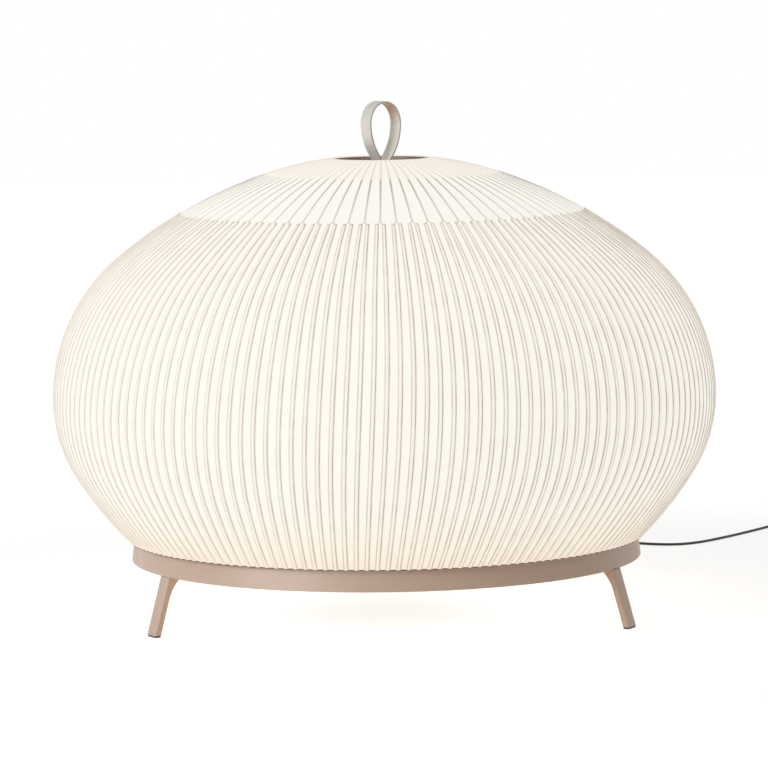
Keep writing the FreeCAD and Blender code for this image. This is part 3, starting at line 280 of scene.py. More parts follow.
# %% [markdown]
# ## Surface effects shared by several finishes
# Paint, rubber, plastic and leather all have a fine grain, and all of them are a little uneven in colour.
# Such an effect is built once as a node group with named inputs, and each finish sets its own scale and
# strength. The grain reads Object coordinates, which are metres here, so a scale is simply one over the
# grain's size.

# %% A helper for node groups
def new_group(name, inputs, outputs):
    """An empty shader group; inputs are (name, kind, value) and outputs are (name, kind)."""
    group = bpy.data.node_groups.new(name, "ShaderNodeTree")
    for label, kind, value in inputs:
        socket = group.interface.new_socket(label, in_out="INPUT", socket_type="NodeSocket" + kind)
        socket.default_value = value
    for label, kind in outputs:
        group.interface.new_socket(label, in_out="OUTPUT", socket_type="NodeSocket" + kind)
    source = group.nodes.new("NodeGroupInput")
    target = group.nodes.new("NodeGroupOutput")
    return group, source.outputs, target.inputs


def noise_at(tree, place, scale, detail, roughness=0.5):
    node = tree.nodes.new("ShaderNodeTexNoise")
    feed(tree, node.inputs["Vector"], place)
    feed(tree, node.inputs["Scale"], scale)
    node.inputs["Detail"].default_value = detail
    node.inputs["Roughness"].default_value = roughness
    return node.outputs["Fac"]


# %% Group: fine grain
grain_group, given, result = new_group(
    "Fine grain",
    [("Place", "Vector", (0.0, 0.0, 0.0)), ("Scale", "Float", 900.0), ("Unevenness", "Float", 8.0)],
    [("Height", "Float"), ("Patches", "Float")],
)
tree = grain_group
pimples = noise_at(tree, given["Place"], given["Scale"], 3.0, 0.6)
coarse_scale = sums(tree, "MULTIPLY", given["Scale"], 0.27)
swell = noise_at(tree, given["Place"], coarse_scale, 1.0)
height = sums(tree, "MULTIPLY_ADD", swell, 0.6, pimples)
patches = noise_at(tree, given["Place"], given["Unevenness"], 3.0, 0.55)
feed(tree, result["Height"], height)
feed(tree, result["Patches"], ramp(tree, patches, 0.3, 0.7))
print("group made:", grain_group.name)

# %% Group: brushed metal
brushed_group, given, result = new_group(
    "Brushed metal",
    [("Place", "Vector", (0.0, 0.0, 0.0)), ("Scale", "Float", 700.0)],
    [("Height", "Float"), ("Shine", "Float")],
)
tree = brushed_group
stretch = tree.nodes.new("ShaderNodeMapping")
stretch.inputs["Scale"].default_value = (1.0, 1.0, 0.06)
feed(tree, stretch.inputs["Vector"], given["Place"])
scratches = noise_at(tree, stretch.outputs["Vector"], given["Scale"], 4.0, 0.7)
feed(tree, result["Height"], scratches)
feed(tree, result["Shine"], ramp(tree, scratches, 0.25, 0.75))
print("group made:", brushed_group.name)

# %% [markdown]
# ## Finishes of the solid pieces
# Every solid piece names a finish in its record. A finish is one material: the base colour lies between two
# close tones that follow the patches of the grain group, the roughness follows them too, and a Bump node
# turns the grain into relief. Values that are the same all over go straight onto the shader's sockets. Most
# finishes differ only in their numbers, so these stand in one table, a row for each.

# %% Helpers for finishes
GRAIN_SPREAD = 0.06


def new_material(name):
    material = bpy.data.materials.new(name)
    material.use_nodes = True
    tree = material.node_tree
    shader = tree.nodes["Principled BSDF"]
    place = tree.nodes.new("ShaderNodeTexCoord")
    return material, tree, shader, place


def use_group(tree, group, **values):
    node = tree.nodes.new("ShaderNodeGroup")
    node.node_tree = group
    for label, value in values.items():
        feed(tree, node.inputs[label], value)
    return node.outputs


def relief(tree, shader, height, depth):
    """Bump from a height between 0 and 1; depth is its real depth in metres."""
    bump = tree.nodes.new("ShaderNodeBump")
    bump.inputs["Strength"].default_value = 1.0
    bump.inputs["Distance"].default_value = depth
    feed(tree, bump.inputs["Height"], height)
    feed(tree, shader.inputs["Normal"], bump.outputs["Normal"])


def patchy_roughness(tree, shader, patches, rough, spread):
    """Roughness that follows the patches, by a spread to both sides."""
    feed(tree, shader.inputs["Roughness"], ramp(tree, patches, 0.0, 1.0, rough - spread, rough + spread))


def grained(name, tone, other_tone, rough, scale, depth, unevenness, **sockets):
    """A matt or glossy finish with a fine grain; scales are per metre, the depth is in metres."""
    material, tree, shader, place = new_material(name)
    grain = use_group(tree, grain_group, Place=place.outputs["Object"], Scale=scale, Unevenness=unevenness)
    feed(tree, shader.inputs["Base Color"], mixed(tree, grain["Patches"], (*tone, 1.0), (*other_tone, 1.0)))
    patchy_roughness(tree, shader, grain["Patches"], rough, GRAIN_SPREAD)
    relief(tree, shader, grain["Height"], depth)
    for label, value in sockets.items():
        shader.inputs[label.replace("_", " ")].default_value = value
    return material


print("helpers for finishes are ready")

# %% Paint, rubber and plastic
# Each row: name, two tones, roughness, scale of the grain, its depth, scale of the uneven patches.
GRAINED = {
    "dish_coat": ("dish_powder_coat", (0.4, 0.305, 0.25), (0.37, 0.28, 0.23), 0.5, 1100, 0.00012, 8.0),
    "clamp_steel": ("clamp_coat", (0.15, 0.115, 0.098), (0.125, 0.095, 0.08), 0.42, 1300, 0.0001, 8.0),
    "hoop_steel": ("white_coat", (0.77, 0.74, 0.69), (0.72, 0.69, 0.63), 0.45, 1000, 0.0001, 8.0),
    "glide_rubber": ("glide_rubber", (0.05, 0.048, 0.046), (0.075, 0.07, 0.066), 0.85, 1600, 0.0001, 40.0),
    "lead_rubber": ("lead_rubber", (0.022, 0.021, 0.021), (0.034, 0.032, 0.031), 0.5, 1800, 0.00006, 30.0),
    "rib_plastic": ("rib_plastic", (0.86, 0.82, 0.75), (0.81, 0.77, 0.69), 0.4, 800, 0.00006, 12.0),
    "holder_plastic": ("holder_plastic", (0.81, 0.80, 0.77), (0.77, 0.755, 0.72), 0.38, 1200, 0.00006, 25.0),
    "tie_plastic": ("tie_plastic", (0.05, 0.05, 0.05), (0.07, 0.07, 0.07), 0.42, 1500, 0.00008, 60.0),
    "switch_plastic": ("switch_plastic", (0.03, 0.03, 0.03), (0.042, 0.041, 0.04), 0.52, 1500, 0.00014, 30.0),
    "button_plastic": ("button_plastic", (0.06, 0.06, 0.06), (0.075, 0.074, 0.073), 0.24, 900, 0.00003, 40.0),
}
POWDER = ("beige_powder_coat", (0.52, 0.378, 0.294), (0.49, 0.352, 0.272), 0.42, 1100, 0.00012, 8.0)
finishes = {"powder_coat": grained(*POWDER, Specular_IOR_Level=0.75, Coat_Weight=0.2, Coat_Roughness=0.45)}
for slot, row in GRAINED.items():
    finishes[slot] = grained(*row)
print("painted, rubber and plastic finishes:", len(finishes))

# %% [markdown]
# ## Bare metal and glass
# Screws, pins and bulb caps are bare metal, where the colour belongs to the reflection, so Metallic is 1 and
# the roughness changes along the brushing. The bulbs are opal glass and are lit. Milky glass hides its
# inside, so it is a white glossy shell with a warm glow that is a little paler on the globe than at the neck.

# %% Bare metal
def brushed(name, tone, other_tone, smooth, rough, scale=700.0):
    material, tree, shader, place = new_material(name)
    lines = use_group(tree, brushed_group, Place=place.outputs["Object"], Scale=scale)
    feed(tree, shader.inputs["Base Color"], mixed(tree, lines["Shine"], (*tone, 1.0), (*other_tone, 1.0)))
    feed(tree, shader.inputs["Roughness"], ramp(tree, lines["Shine"], 0.0, 1.0, smooth, rough))
    relief(tree, shader, lines["Height"], 0.00005)
    shader.inputs["Metallic"].default_value = 1.0
    return material


finishes["fastener_steel"] = brushed("zinc_steel", (0.56, 0.56, 0.57), (0.5, 0.5, 0.5), 0.28, 0.46)
finishes["cap_brass"] = brushed("cap_brass", (0.74, 0.6, 0.32), (0.66, 0.52, 0.26), 0.25, 0.42)
finishes["pin_chrome"] = brushed("plated_pins", (0.8, 0.8, 0.8), (0.72, 0.72, 0.72), 0.12, 0.28, 900.0)
print("metal finishes:", [finishes[name].name for name in ("fastener_steel", "cap_brass", "pin_chrome")])

# %% Opal glass
NECK_GLOW = (1.0, 0.6, 0.34, 1.0)
GLOBE_GLOW = (1.0, 0.74, 0.48, 1.0)
BULB_STRENGTH = 14.0
material, tree, shader, place = new_material("opal_glass")
low, high = (corner[2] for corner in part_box("bulb_1"))
height = tree.nodes.new("ShaderNodeSeparateXYZ")
feed(tree, height.inputs["Vector"], place.outputs["Object"])
up_the_globe = ramp(tree, height.outputs["Z"], low, low + 0.5 * (high - low))
cloud = noise_at(tree, place.outputs["Object"], 35.0, 2.0)
feed(tree, shader.inputs["Base Color"], mixed(tree, cloud, (0.97, 0.95, 0.9, 1.0), (0.93, 0.9, 0.84, 1.0)))
feed(tree, shader.inputs["Emission Color"], mixed(tree, up_the_globe, NECK_GLOW, GLOBE_GLOW))
shader.inputs["Emission Strength"].default_value = BULB_STRENGTH
shader.inputs["Roughness"].default_value = 0.22
finishes["bulb_glass"] = material
print("glass finish:", material.name)

# %% Put the finishes on the solid pieces
slot_of = {part["node"]: part["material_slot"] for part in frame["record"]["subparts"]}
dressed = 0
for name, piece in nodes.items():
    finish = finishes.get(slot_of[name])
    if finish is None:
        continue
    piece.data.materials.clear()
    piece.data.materials.append(finish)
    dressed += 1
for lead in (lead_lamp_side, lead_plug_side):
    lead.data.materials.append(finishes["lead_rubber"])
print("solid pieces with a finish:", dressed, "of", len(nodes))

# %% [markdown]
# ## The outline of the shade
# The shade is a turned form: one outline goes round the axis. The outline is made of arcs that meet smoothly,
# from the ring out to the belly, in over the shoulder to the crown and the collar, up to the opening. Two
# points and the directions in them decide a pair of arcs, a biarc, so the whole outline follows from a few
# sizes. In the mesh an arc is one vertex swung about the arc's middle with the spin operator.

# %% Arcs between points
Bend = namedtuple("Bend", "start centre turn end way")


def bend_to(start, way, end):
    """The arc that leaves a point in a direction and reaches another point."""
    chord = end - start
    turn = 2 * math.atan2(way.x * chord.y - way.y * chord.x, way.dot(chord))
    radius = chord.length / (2 * math.sin(turn / 2))
    centre = start + Vector((-way.y, way.x)) * radius
    end_way = way.copy()
    end_way.rotate(Matrix.Rotation(turn, 2))
    return Bend(start, centre, turn, end, end_way)


def two_bends(start, way, end, end_way):
    """Two arcs that leave and arrive in given directions."""
    chord = end - start
    spread = 2 * (1 - way.dot(end_way))
    along = chord.dot(way + end_way)
    reach = (math.sqrt(along ** 2 + spread * chord.dot(chord)) - along) / spread
    first = start + way * reach
    second = end - end_way * reach
    joint = (first + second) / 2
    return [bend_to(start, way, joint), bend_to(joint, (second - first).normalized(), end)]


def heading(degrees):
    return Vector((math.cos(math.radians(degrees)), math.sin(math.radians(degrees))))


# %% The outline's sizes
foot = Vector((303.0, 92.5)) * MM
belly = Vector((389.0, 258.5)) * MM
collar_seam = Vector((138.0, 518.9)) * MM
opening = Vector((58.5, 537.0)) * MM
SEAM_RADIUS = 236.0 * MM
crown_way = heading(180.0 - 18.3)
lower_bends = two_bends(foot, heading(45.5), belly, heading(90.0))
upper_bends = two_bends(belly, heading(90.0), collar_seam, crown_way)
collar_bend = bend_to(collar_seam, crown_way, opening)
shoulder = upper_bends[1]
reach = (shoulder.start - shoulder.centre).length
seam_height = shoulder.centre.y + math.sqrt(reach ** 2 - (SEAM_RADIUS - shoulder.centre.x) ** 2)
seam = Vector((SEAM_RADIUS, seam_height))
rib_top_bend = bend_to(shoulder.start, upper_bends[0].way, seam)
crown_bend = bend_to(seam, rib_top_bend.way, collar_seam)
print("seam under the crown at", [round(value / MM, 1) for value in seam])

# %% Drawing an outline
Row = namedtuple("Row", "radius height normal along")


def swing(bm, corner, bend, steps, from_share=0.0, to_share=1.0):
    """Spin one vertex along part of a bend and give back the vertex at its end."""
    made = bmesh.ops.spin(
        bm,
        geom=[corner],
        cent=(bend.centre.x, 0.0, bend.centre.y),
        axis=(0.0, -1.0, 0.0),
        angle=bend.turn * (to_share - from_share),
        steps=steps,
    )
    return [item for item in made["geom_last"] if isinstance(item, bmesh.types.BMVert)][0]


def length_of(bend):
    return abs(bend.turn) * (bend.start - bend.centre).length


def steps_for(bend, spacing):
    return max(1, round(length_of(bend) / spacing))


def read_rows(bm):
    """Number the vertices of an outline and note where each one is, which way it faces and how far along."""
    bm.verts.ensure_lookup_table()
    row_layer = bm.verts.layers.int.new("row")
    rows = []
    along = 0.0
    for index, vert in enumerate(bm.verts):
        vert[row_layer] = index
        before = bm.verts[max(index - 1, 0)].co
        after = bm.verts[min(index + 1, len(bm.verts) - 1)].co
        way = (after - before).normalized()
        along += (vert.co - before).length
        rows.append(Row(vert.co.x, vert.co.z, Vector((way.z, -way.x)), along))
    return rows


# %% [markdown]
# ## Turning an outline into cloth
# A full spin about the lamp's axis makes the smooth surface. It gets a fixed number of columns for each rib,
# so afterwards every vertex knows its rib and its place on it, and can be moved: sideways to the rib's edge,
# outwards over the rib, or slightly inwards where the knit hangs between two ribs. The sideways distance from
# the rib in millimetres is kept as the piece's UV map, and the distance along the outline is its other
# coordinate. The finish draws its lines and stitches with these two numbers.

# %% Spinning and shaping
def turn_round(bm, columns):
    """Spin the outline a full turn, merge the seam and point the faces outwards."""
    geometry = bm.verts[:] + bm.edges[:]
    bmesh.ops.spin(
        bm, geom=geometry, cent=(0, 0, 0), axis=(0, 0, 1), angle=2 * math.pi, steps=columns, use_merge=True
    )
    bmesh.ops.remove_doubles(bm, verts=bm.verts[:], dist=1e-6)
    bmesh.ops.recalc_face_normals(bm, faces=bm.faces[:])


def column_of(vert, columns):
    return round((math.atan2(vert.co.y, vert.co.x) % (2 * math.pi)) / (2 * math.pi) * columns) % columns


def shape_cloth(bm, rows, columns, shaped):
    """Move every vertex to the angle and lift that shaped(row, column) says, and note its column."""
    row_layer = bm.verts.layers.int["row"]
    column_layer = bm.verts.layers.int.new("column")
    for vert in bm.verts:
        column = column_of(vert, columns)
        vert[column_layer] = column
        row = rows[vert[row_layer]]
        angle, lift = shaped(row, column)
        radius = row.radius + row.normal.x * lift
        vert.co = (radius * math.cos(angle), radius * math.sin(angle), row.height + row.normal.y * lift)


def map_cloth(bm, rows, columns, across):
    """UV in millimetres: sideways from the nearest rib, and along the outline."""
    row_layer = bm.verts.layers.int["row"]
    column_layer = bm.verts.layers.int["column"]
    uv_layer = bm.loops.layers.uv.new("cloth")
    for face in bm.faces:
        face.smooth = True
        found = sorted({vert[column_layer] for vert in face.verts})
        wraps = found[-1] - found[0] > 1
        left = found[-1] if wraps else found[0]
        for loop in face.loops:
            row = rows[loop.vert[row_layer]]
            on_right = loop.vert[column_layer] != left
            loop[uv_layer].uv = (across(row, left, on_right) / MM, row.along / MM)


def mesh_piece(name, bm):
    """Put a finished bmesh into the scene as an object at the origin."""
    mesh = bpy.data.meshes.new(name)
    bm.to_mesh(mesh)
    bm.free()
    piece = bpy.data.objects.new(name, mesh)
    bpy.context.scene.collection.objects.link(piece)
    return piece


def cloth_piece(name, bm, thickness):
    """Finish a cloth: sharp outer edges, an object, and a wall that grows inwards."""
    for edge in bm.edges:
        edge.smooth = not edge.is_boundary
    piece = mesh_piece(name, bm)
    wall = piece.modifiers.new("wall", "SOLIDIFY")
    wall.thickness = thickness
    wall.offset = -1.0
    print(name, "has", len(piece.data.polygons), "faces before its wall")
    return piece


# %% [markdown]
# ## The main cover
# The main cover is one knitted sleeve. Each of its 164 ribs is a narrow tunnel in the knit that holds a
# spring rib. The tunnels are evenly spaced at the belly, draw together in pairs near the upper seam and end
# there in a small round arch, as in the photograph. Towards the ring they all lean sideways by a few degrees,
# because a sleeve that is pulled over a frame never sits quite straight. Eight columns are enough for one
# rib: five over the tunnel and three for the flat knit to the next one.

# %% Where a rib's columns go
RIBS = 164
RIB_COLUMNS = 8
RIDGE_COLUMNS = 5
GAP_STEPS = RIB_COLUMNS - RIDGE_COLUMNS + 1
RIB_HALF = 2.1 * MM
RIB_LIFT = 1.0 * MM
PAIR_SHIFT = 0.7 * MM
PAIR_REACH = 150.0 * MM
ARCH_GAP = 0.6 * MM
ARCH_HEIGHT = 6.5 * MM
ARCH_TIP = 0.3
ARCH_ROWS = 5
ROW_SPACING = 16.5 * MM
SPOKE_TURN = math.radians(-90.5)
SLEEVE_LEAN = math.radians(-2.6)
LEAN_REACH = 300.0 * MM
LEAN_POWER = 1.7
HEM_REACH = 20.0 * MM
HEM_LIFT = 0.25
SAG_DEPTH = 0.3 * MM
SAG_REACH = 30.0 * MM
rib_turn = 2 * math.pi / RIBS
ridge_place = (-1.0, -0.62, 0.0, 0.62, 1.0)
ridge_lift = (0.0, 0.8, 1.0, 0.8, 0.0)


def smooth_share(value):
    value = min(1.0, max(0.0, value))
    return value * value * (3.0 - 2.0 * value)


def rib_angle(rib, row, top):
    """Direction of a rib's middle: pairs close up near the seam, and all lean sideways near the ring."""
    closing = PAIR_SHIFT * smooth_share(1.0 - (top - row.along) / PAIR_REACH)
    side = -1.0 if rib % 2 == 0 else 1.0
    sleeve_lean = SLEEVE_LEAN * max(0.0, 1.0 - row.along / LEAN_REACH) ** LEAN_POWER
    return SPOKE_TURN + (rib + 0.5) * rib_turn + side * closing / row.radius + sleeve_lean


def arch_share(row, top):
    """1 along the rib, falling to 0 round the arch at its top."""
    below = top - row.along - ARCH_GAP
    rest = 1.0 - min(1.0, max(0.0, below / ARCH_HEIGHT))
    return math.sqrt(1.0 - rest * rest)


def gap_width(rib, row, top):
    return row.radius * (rib_angle(rib + 1, row, top) - rib_angle(rib, row, top)) - 2 * RIB_HALF


# %% The cover's outline and its turn
bm = bmesh.new()
tip = bm.verts.new((foot.x, 0.0, foot.y))
for bend in (*lower_bends, upper_bends[0]):
    tip = swing(bm, tip, bend, steps_for(bend, ROW_SPACING))
arch_part = (ARCH_GAP + ARCH_HEIGHT) / length_of(rib_top_bend)
tip = swing(bm, tip, rib_top_bend, steps_for(rib_top_bend, ROW_SPACING), 0.0, 1.0 - arch_part)
swing(bm, tip, rib_top_bend, ARCH_ROWS, 1.0 - arch_part, 1.0)
main_rows = read_rows(bm)
main_top = main_rows[-1].along
turn_round(bm, RIBS * RIB_COLUMNS)
print("main cover:", len(main_rows), "rows over", round(main_top / MM, 1), "mm")


# %% The ribs in the cover
def rib_half(row):
    """Half the tunnel's width, which shrinks round the arch."""
    return RIB_HALF * max(arch_share(row, main_top), ARCH_TIP)


def sag_at(row, top, reach, depth, share):
    """How far the cloth hangs in between two ribs: nothing at its ends and on the ribs."""
    ends = smooth_share(row.along / reach) * smooth_share((top - row.along) / reach)
    return -depth * ends * (1.0 - (2.0 * share - 1.0) ** 2)


def main_shape(row, column):
    rib, place = divmod(column, RIB_COLUMNS)
    middle = rib_angle(rib, row, main_top)
    if place < RIDGE_COLUMNS:
        sewn_down = HEM_LIFT + (1.0 - HEM_LIFT) * smooth_share(row.along / HEM_REACH)
        lift = ridge_lift[place] * RIB_LIFT * arch_share(row, main_top) * sewn_down
        return middle + ridge_place[place] * rib_half(row) / row.radius, lift
    share = (place - RIDGE_COLUMNS + 1) / GAP_STEPS
    sideways = RIB_HALF + gap_width(rib, row, main_top) * share
    return middle + sideways / row.radius, sag_at(row, main_top, SAG_REACH, SAG_DEPTH, share)


def main_across(row, left, on_right):
    """Distance from the nearest rib's middle; the face decides which rib that is."""
    rib, place = divmod(left, RIB_COLUMNS)
    corner = place + int(on_right)
    if corner < RIDGE_COLUMNS:
        return ridge_place[corner] * rib_half(row)
    if corner == RIB_COLUMNS:
        return -rib_half(row)
    gap = gap_width(rib, row, main_top)
    share = (corner - RIDGE_COLUMNS + 1) / GAP_STEPS
    if place <= RIDGE_COLUMNS:
        return RIB_HALF + gap * share
    return -RIB_HALF - gap * (1.0 - share)


shape_cloth(bm, main_rows, RIBS * RIB_COLUMNS, main_shape)
map_cloth(bm, main_rows, RIBS * RIB_COLUMNS, main_across)
shade_cover = cloth_piece("shade_cover", bm, 0.8 * MM)
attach(shade_cover, "lamp")
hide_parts("cover_hem", "cover_lower", "cover_belly", "cover_shoulder", "cover_top")

# %% [markdown]
# ## Crown and collar
# Above the seam the knit changes: half as many ribs, one over each pair, show as single thin lines, and the
# cloth between them is stretched nearly flat. The collar is a plain ring that covers their ends round the
# opening. Both use the same helpers with another rule for the columns. The collar ends in a small rolled
# edge.

# %% Where a spoke's columns go
SPOKES = 82
SPOKE_COLUMNS = 8
SPOKE_HALF = 1.0 * MM
SPOKE_SAG_REACH = 25.0 * MM
LIP_RADIUS = 0.6 * MM
LIP_TURN = math.radians(150.0)
LIP_STEPS = 4
spoke_turn = 2 * math.pi / SPOKES


def spoke_shape(lift, sag, top):
    """The rule for one cloth: how high its spokes stand and how deep it hangs between them."""
    def shaped(row, column):
        spoke, place = divmod(column, SPOKE_COLUMNS)
        middle = SPOKE_TURN + spoke * spoke_turn
        share = place / SPOKE_COLUMNS
        if place == 0:
            return middle, lift
        edge = SPOKE_HALF / row.radius
        inner = (place - 1) / (SPOKE_COLUMNS - 2)
        angle = middle + edge + (spoke_turn - 2 * edge) * inner
        return angle, sag_at(row, top, SPOKE_SAG_REACH, sag, share)
    return shaped


def spoke_across(row, left, on_right):
    place = left % SPOKE_COLUMNS
    corner = place + int(on_right)
    pitch = spoke_turn * row.radius
    if corner in (0, SPOKE_COLUMNS):
        return 0.0
    sideways = SPOKE_HALF + (pitch - 2 * SPOKE_HALF) * (corner - 1) / (SPOKE_COLUMNS - 2)
    return sideways if place < SPOKE_COLUMNS / 2 else sideways - pitch


def spoke_cloth(name, bm, lift, sag, thickness):
    """Turn an outline into a cloth with spokes; gives back the piece and the outline's length."""
    rows = read_rows(bm)
    top = rows[-1].along
    columns = SPOKES * SPOKE_COLUMNS
    turn_round(bm, columns)
    shape_cloth(bm, rows, columns, spoke_shape(lift, sag, top))
    map_cloth(bm, rows, columns, spoke_across)
    return cloth_piece(name, bm, thickness), top


print("one spoke every", round(spoke_turn * SEAM_RADIUS / MM, 1), "mm at the seam")

# %% The crown
bm = bmesh.new()
tip = bm.verts.new((seam.x, 0.0, seam.y))
swing(bm, tip, crown_bend, steps_for(crown_bend, 9.0 * MM))
shade_crown, crown_top = spoke_cloth("shade_crown", bm, lift=0.3 * MM, sag=0.5 * MM, thickness=0.8 * MM)
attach(shade_crown, "lamp")
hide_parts("crown_cover")

# %% The collar
bm = bmesh.new()
tip = bm.verts.new((collar_seam.x, 0.0, collar_seam.y))
tip = swing(bm, tip, collar_bend, steps_for(collar_bend, 10.0 * MM))
lip_centre = opening + Vector((-collar_bend.way.y, collar_bend.way.x)) * LIP_RADIUS
lip = Bend(opening, lip_centre, LIP_TURN, opening, collar_bend.way)
swing(bm, tip, lip, LIP_STEPS)
shade_collar, collar_top = spoke_cloth("shade_collar", bm, lift=0.2 * MM, sag=0.2 * MM, thickness=0.5 * MM)
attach(shade_collar, "lamp")
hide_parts("collar_cover")

# %% [markdown]
# ## The knit
# The cloth is a fine ivory knit, lit from inside. Where it lies on a rib it is double and darker at both
# edges of the tunnel, with painted shade making the right-hand edge a little darker, and between the ribs it
# glows almost white, warmer towards the ring. A painted shadow darkens its lower edge where it overhangs the
# ring. The lines come from the UV map: one group measures how far a point is from the tunnel's edge, also
# round the arch, and another makes the small slanting stitches. Base colour and emission colour use the same
# masks, so the cloth has its pattern with the lamp on and with other light.

# %% Group: rib lines
line_group, given, result = new_group(
    "Rib lines",
    [
        ("Across", "Float", 0.0),
        ("Below Top", "Float", 100.0),
        ("Half Width", "Float", 2.25),
        ("Core", "Float", 0.35),
        ("Fade", "Float", 0.8),
    ],
    [("Line", "Float"), ("Right Side Shade", "Float"), ("Tunnel", "Float")],
)
tree = line_group
short_of_arch = sums(tree, "SUBTRACT", given["Half Width"], given["Below Top"])
short_of_arch = sums(tree, "MAXIMUM", short_of_arch, 0.0)
square = sums(tree, "MULTIPLY", short_of_arch, short_of_arch)
from_middle = sums(tree, "SQRT", sums(tree, "MULTIPLY_ADD", given["Across"], given["Across"], square))
from_edge = sums(tree, "SUBTRACT", from_middle, given["Half Width"])
off_line = sums(tree, "SUBTRACT", sums(tree, "ABSOLUTE", from_edge), given["Core"])
share = sums(tree, "DIVIDE", off_line, given["Fade"], clamp=True)
feed(tree, result["Line"], ramp(tree, share, 0.0, 1.0, 1.0, 0.0))
# This output marks the right-hand edge of a tunnel, whose line is drawn darker as painted shade.
feed(tree, result["Right Side Shade"], ramp(tree, given["Across"], -0.6, 0.6))
feed(tree, result["Tunnel"], ramp(tree, from_edge, -0.4, 0.3, 1.0, 0.0))
print("group made:", line_group.name)

# %% Group: knit stitches
stitch_group, given, result = new_group(
    "Knit stitches",
    [("Across", "Float", 0.0), ("Along", "Float", 0.0), ("Wale", "Float", 1.3), ("Course", "Float", 1.1)],
    [("Height", "Float"), ("Shade", "Float")],
)
tree = stitch_group
wale = sums(tree, "FRACT", sums(tree, "DIVIDE", given["Across"], given["Wale"]))
slant = sums(tree, "ABSOLUTE", sums(tree, "SUBTRACT", wale, 0.5))
course = sums(tree, "DIVIDE", given["Along"], given["Course"])
phase = sums(tree, "MULTIPLY", sums(tree, "ADD", course, slant), 2 * math.pi)
loop_wave = sums(tree, "MULTIPLY_ADD", sums(tree, "SINE", phase), 0.5, 0.5)
valley = ramp(tree, slant, 0.34, 0.5, 1.0, 0.35)
stitch_height = sums(tree, "MULTIPLY", loop_wave, valley)
feed(tree, result["Height"], stitch_height)
feed(tree, result["Shade"], ramp(tree, stitch_height, 0.0, 0.6))
print("group made:", stitch_group.name)

# %% Colours of the knit
KNIT = (0.125, 0.122, 0.116, 1.0)
GLOW = (0.985, 0.96, 0.872, 1.0)
WARM_GLOW = (1.0, 0.9, 0.75, 1.0)
LINE = (0.56, 0.525, 0.475, 1.0)
LINE_GLOW = (0.265, 0.226, 0.178, 1.0)
# Painted shadow along the cloth's lower edge, under its overhang at the ring.
HEM_SHADOW = (0.17, 0.085, 0.06, 1.0)
HEM_SHADOW_GLOW = (0.05, 0.022, 0.014, 1.0)
FOOT_GLOW = (0.98, 0.855, 0.725, 1.0)
TUNNEL_GLOW = (0.97, 0.905, 0.815, 1.0)
GLOW_STRENGTH = 0.9
STITCH = (0.3, 0.24, 0.17, 1.0)
STITCH_GLOW = (0.5, 0.36, 0.22, 1.0)
STITCH_SHARE = 0.07
STITCH_DEPTH = 0.0002
ARCH_LINE_HALF = 1.65
BELLY_LINE_HALF = 2.2
WARM_REACH = 110.0
FOOT_REACH = 35.0


def uv_numbers(tree, uv_map):
    """The two numbers of a UV map, which are millimetres here."""
    uv = tree.nodes.new("ShaderNodeUVMap")
    uv.uv_map = uv_map
    parts = tree.nodes.new("ShaderNodeSeparateXYZ")
    feed(tree, parts.inputs["Vector"], uv.outputs["UV"])
    return parts.outputs["X"], parts.outputs["Y"]


def knit_shader(tree, shader, across, along, base, glow):
    """Stitches on top of a pattern, and the shader's own plain values."""
    stitches = use_group(tree, stitch_group, Across=across, Along=along)
    darker = sums(tree, "MULTIPLY_ADD", stitches["Shade"], -STITCH_SHARE, STITCH_SHARE)
    feed(tree, shader.inputs["Base Color"], mixed(tree, darker, base, STITCH))
    feed(tree, shader.inputs["Emission Color"], mixed(tree, darker, glow, STITCH_GLOW))
    relief(tree, shader, stitches["Height"], STITCH_DEPTH)
    shader.inputs["Roughness"].default_value = 0.82
    shader.inputs["Sheen Weight"].default_value = 0.15
    shader.inputs["Emission Strength"].default_value = GLOW_STRENGTH


# %% The main cover's knit
rib_knit, tree, shader, place = new_material("rib_knit")
across, along = uv_numbers(tree, "cloth")
below_top = sums(tree, "SUBTRACT", (main_top - ARCH_GAP) / MM, along)
below_top = sums(tree, "MULTIPLY", below_top, ARCH_LINE_HALF * MM / ARCH_HEIGHT)
arch_core = ramp(tree, below_top, 0.0, ARCH_LINE_HALF, 0.5, 0.32)
pairing_starts = (main_top - PAIR_REACH) / MM
half_width = ramp(tree, along, pairing_starts, main_top / MM, BELLY_LINE_HALF, ARCH_LINE_HALF)
line_values = {"Across": across, "Below Top": below_top, "Half Width": half_width, "Core": arch_core}
lines = use_group(tree, line_group, **line_values)
uneven = noise_at(tree, place.outputs["Object"], 40.0, 2.0)
# Painted shade: lines on the right-hand edges of the tunnels are drawn a little stronger than on the left.
shaded_side_strength = sums(tree, "MULTIPLY_ADD", lines["Right Side Shade"], 0.06, 0.92)
strength = sums(tree, "MULTIPLY", shaded_side_strength, ramp(tree, uneven, 0.3, 0.7, 0.78, 1.16))
drawn = sums(tree, "MULTIPLY", lines["Line"], strength, clamp=True)
near_ring = ramp(tree, along, 0.0, WARM_REACH, 1.0, 0.0)
plain_glow = mixed(tree, lines["Tunnel"], GLOW, TUNNEL_GLOW)
plain_glow = mixed(tree, near_ring, plain_glow, WARM_GLOW)
plain_glow = mixed(tree, ramp(tree, along, 0.0, FOOT_REACH, 1.0, 0.0), plain_glow, FOOT_GLOW)
base = mixed(tree, drawn, KNIT, LINE)
glow = mixed(tree, drawn, plain_glow, LINE_GLOW)
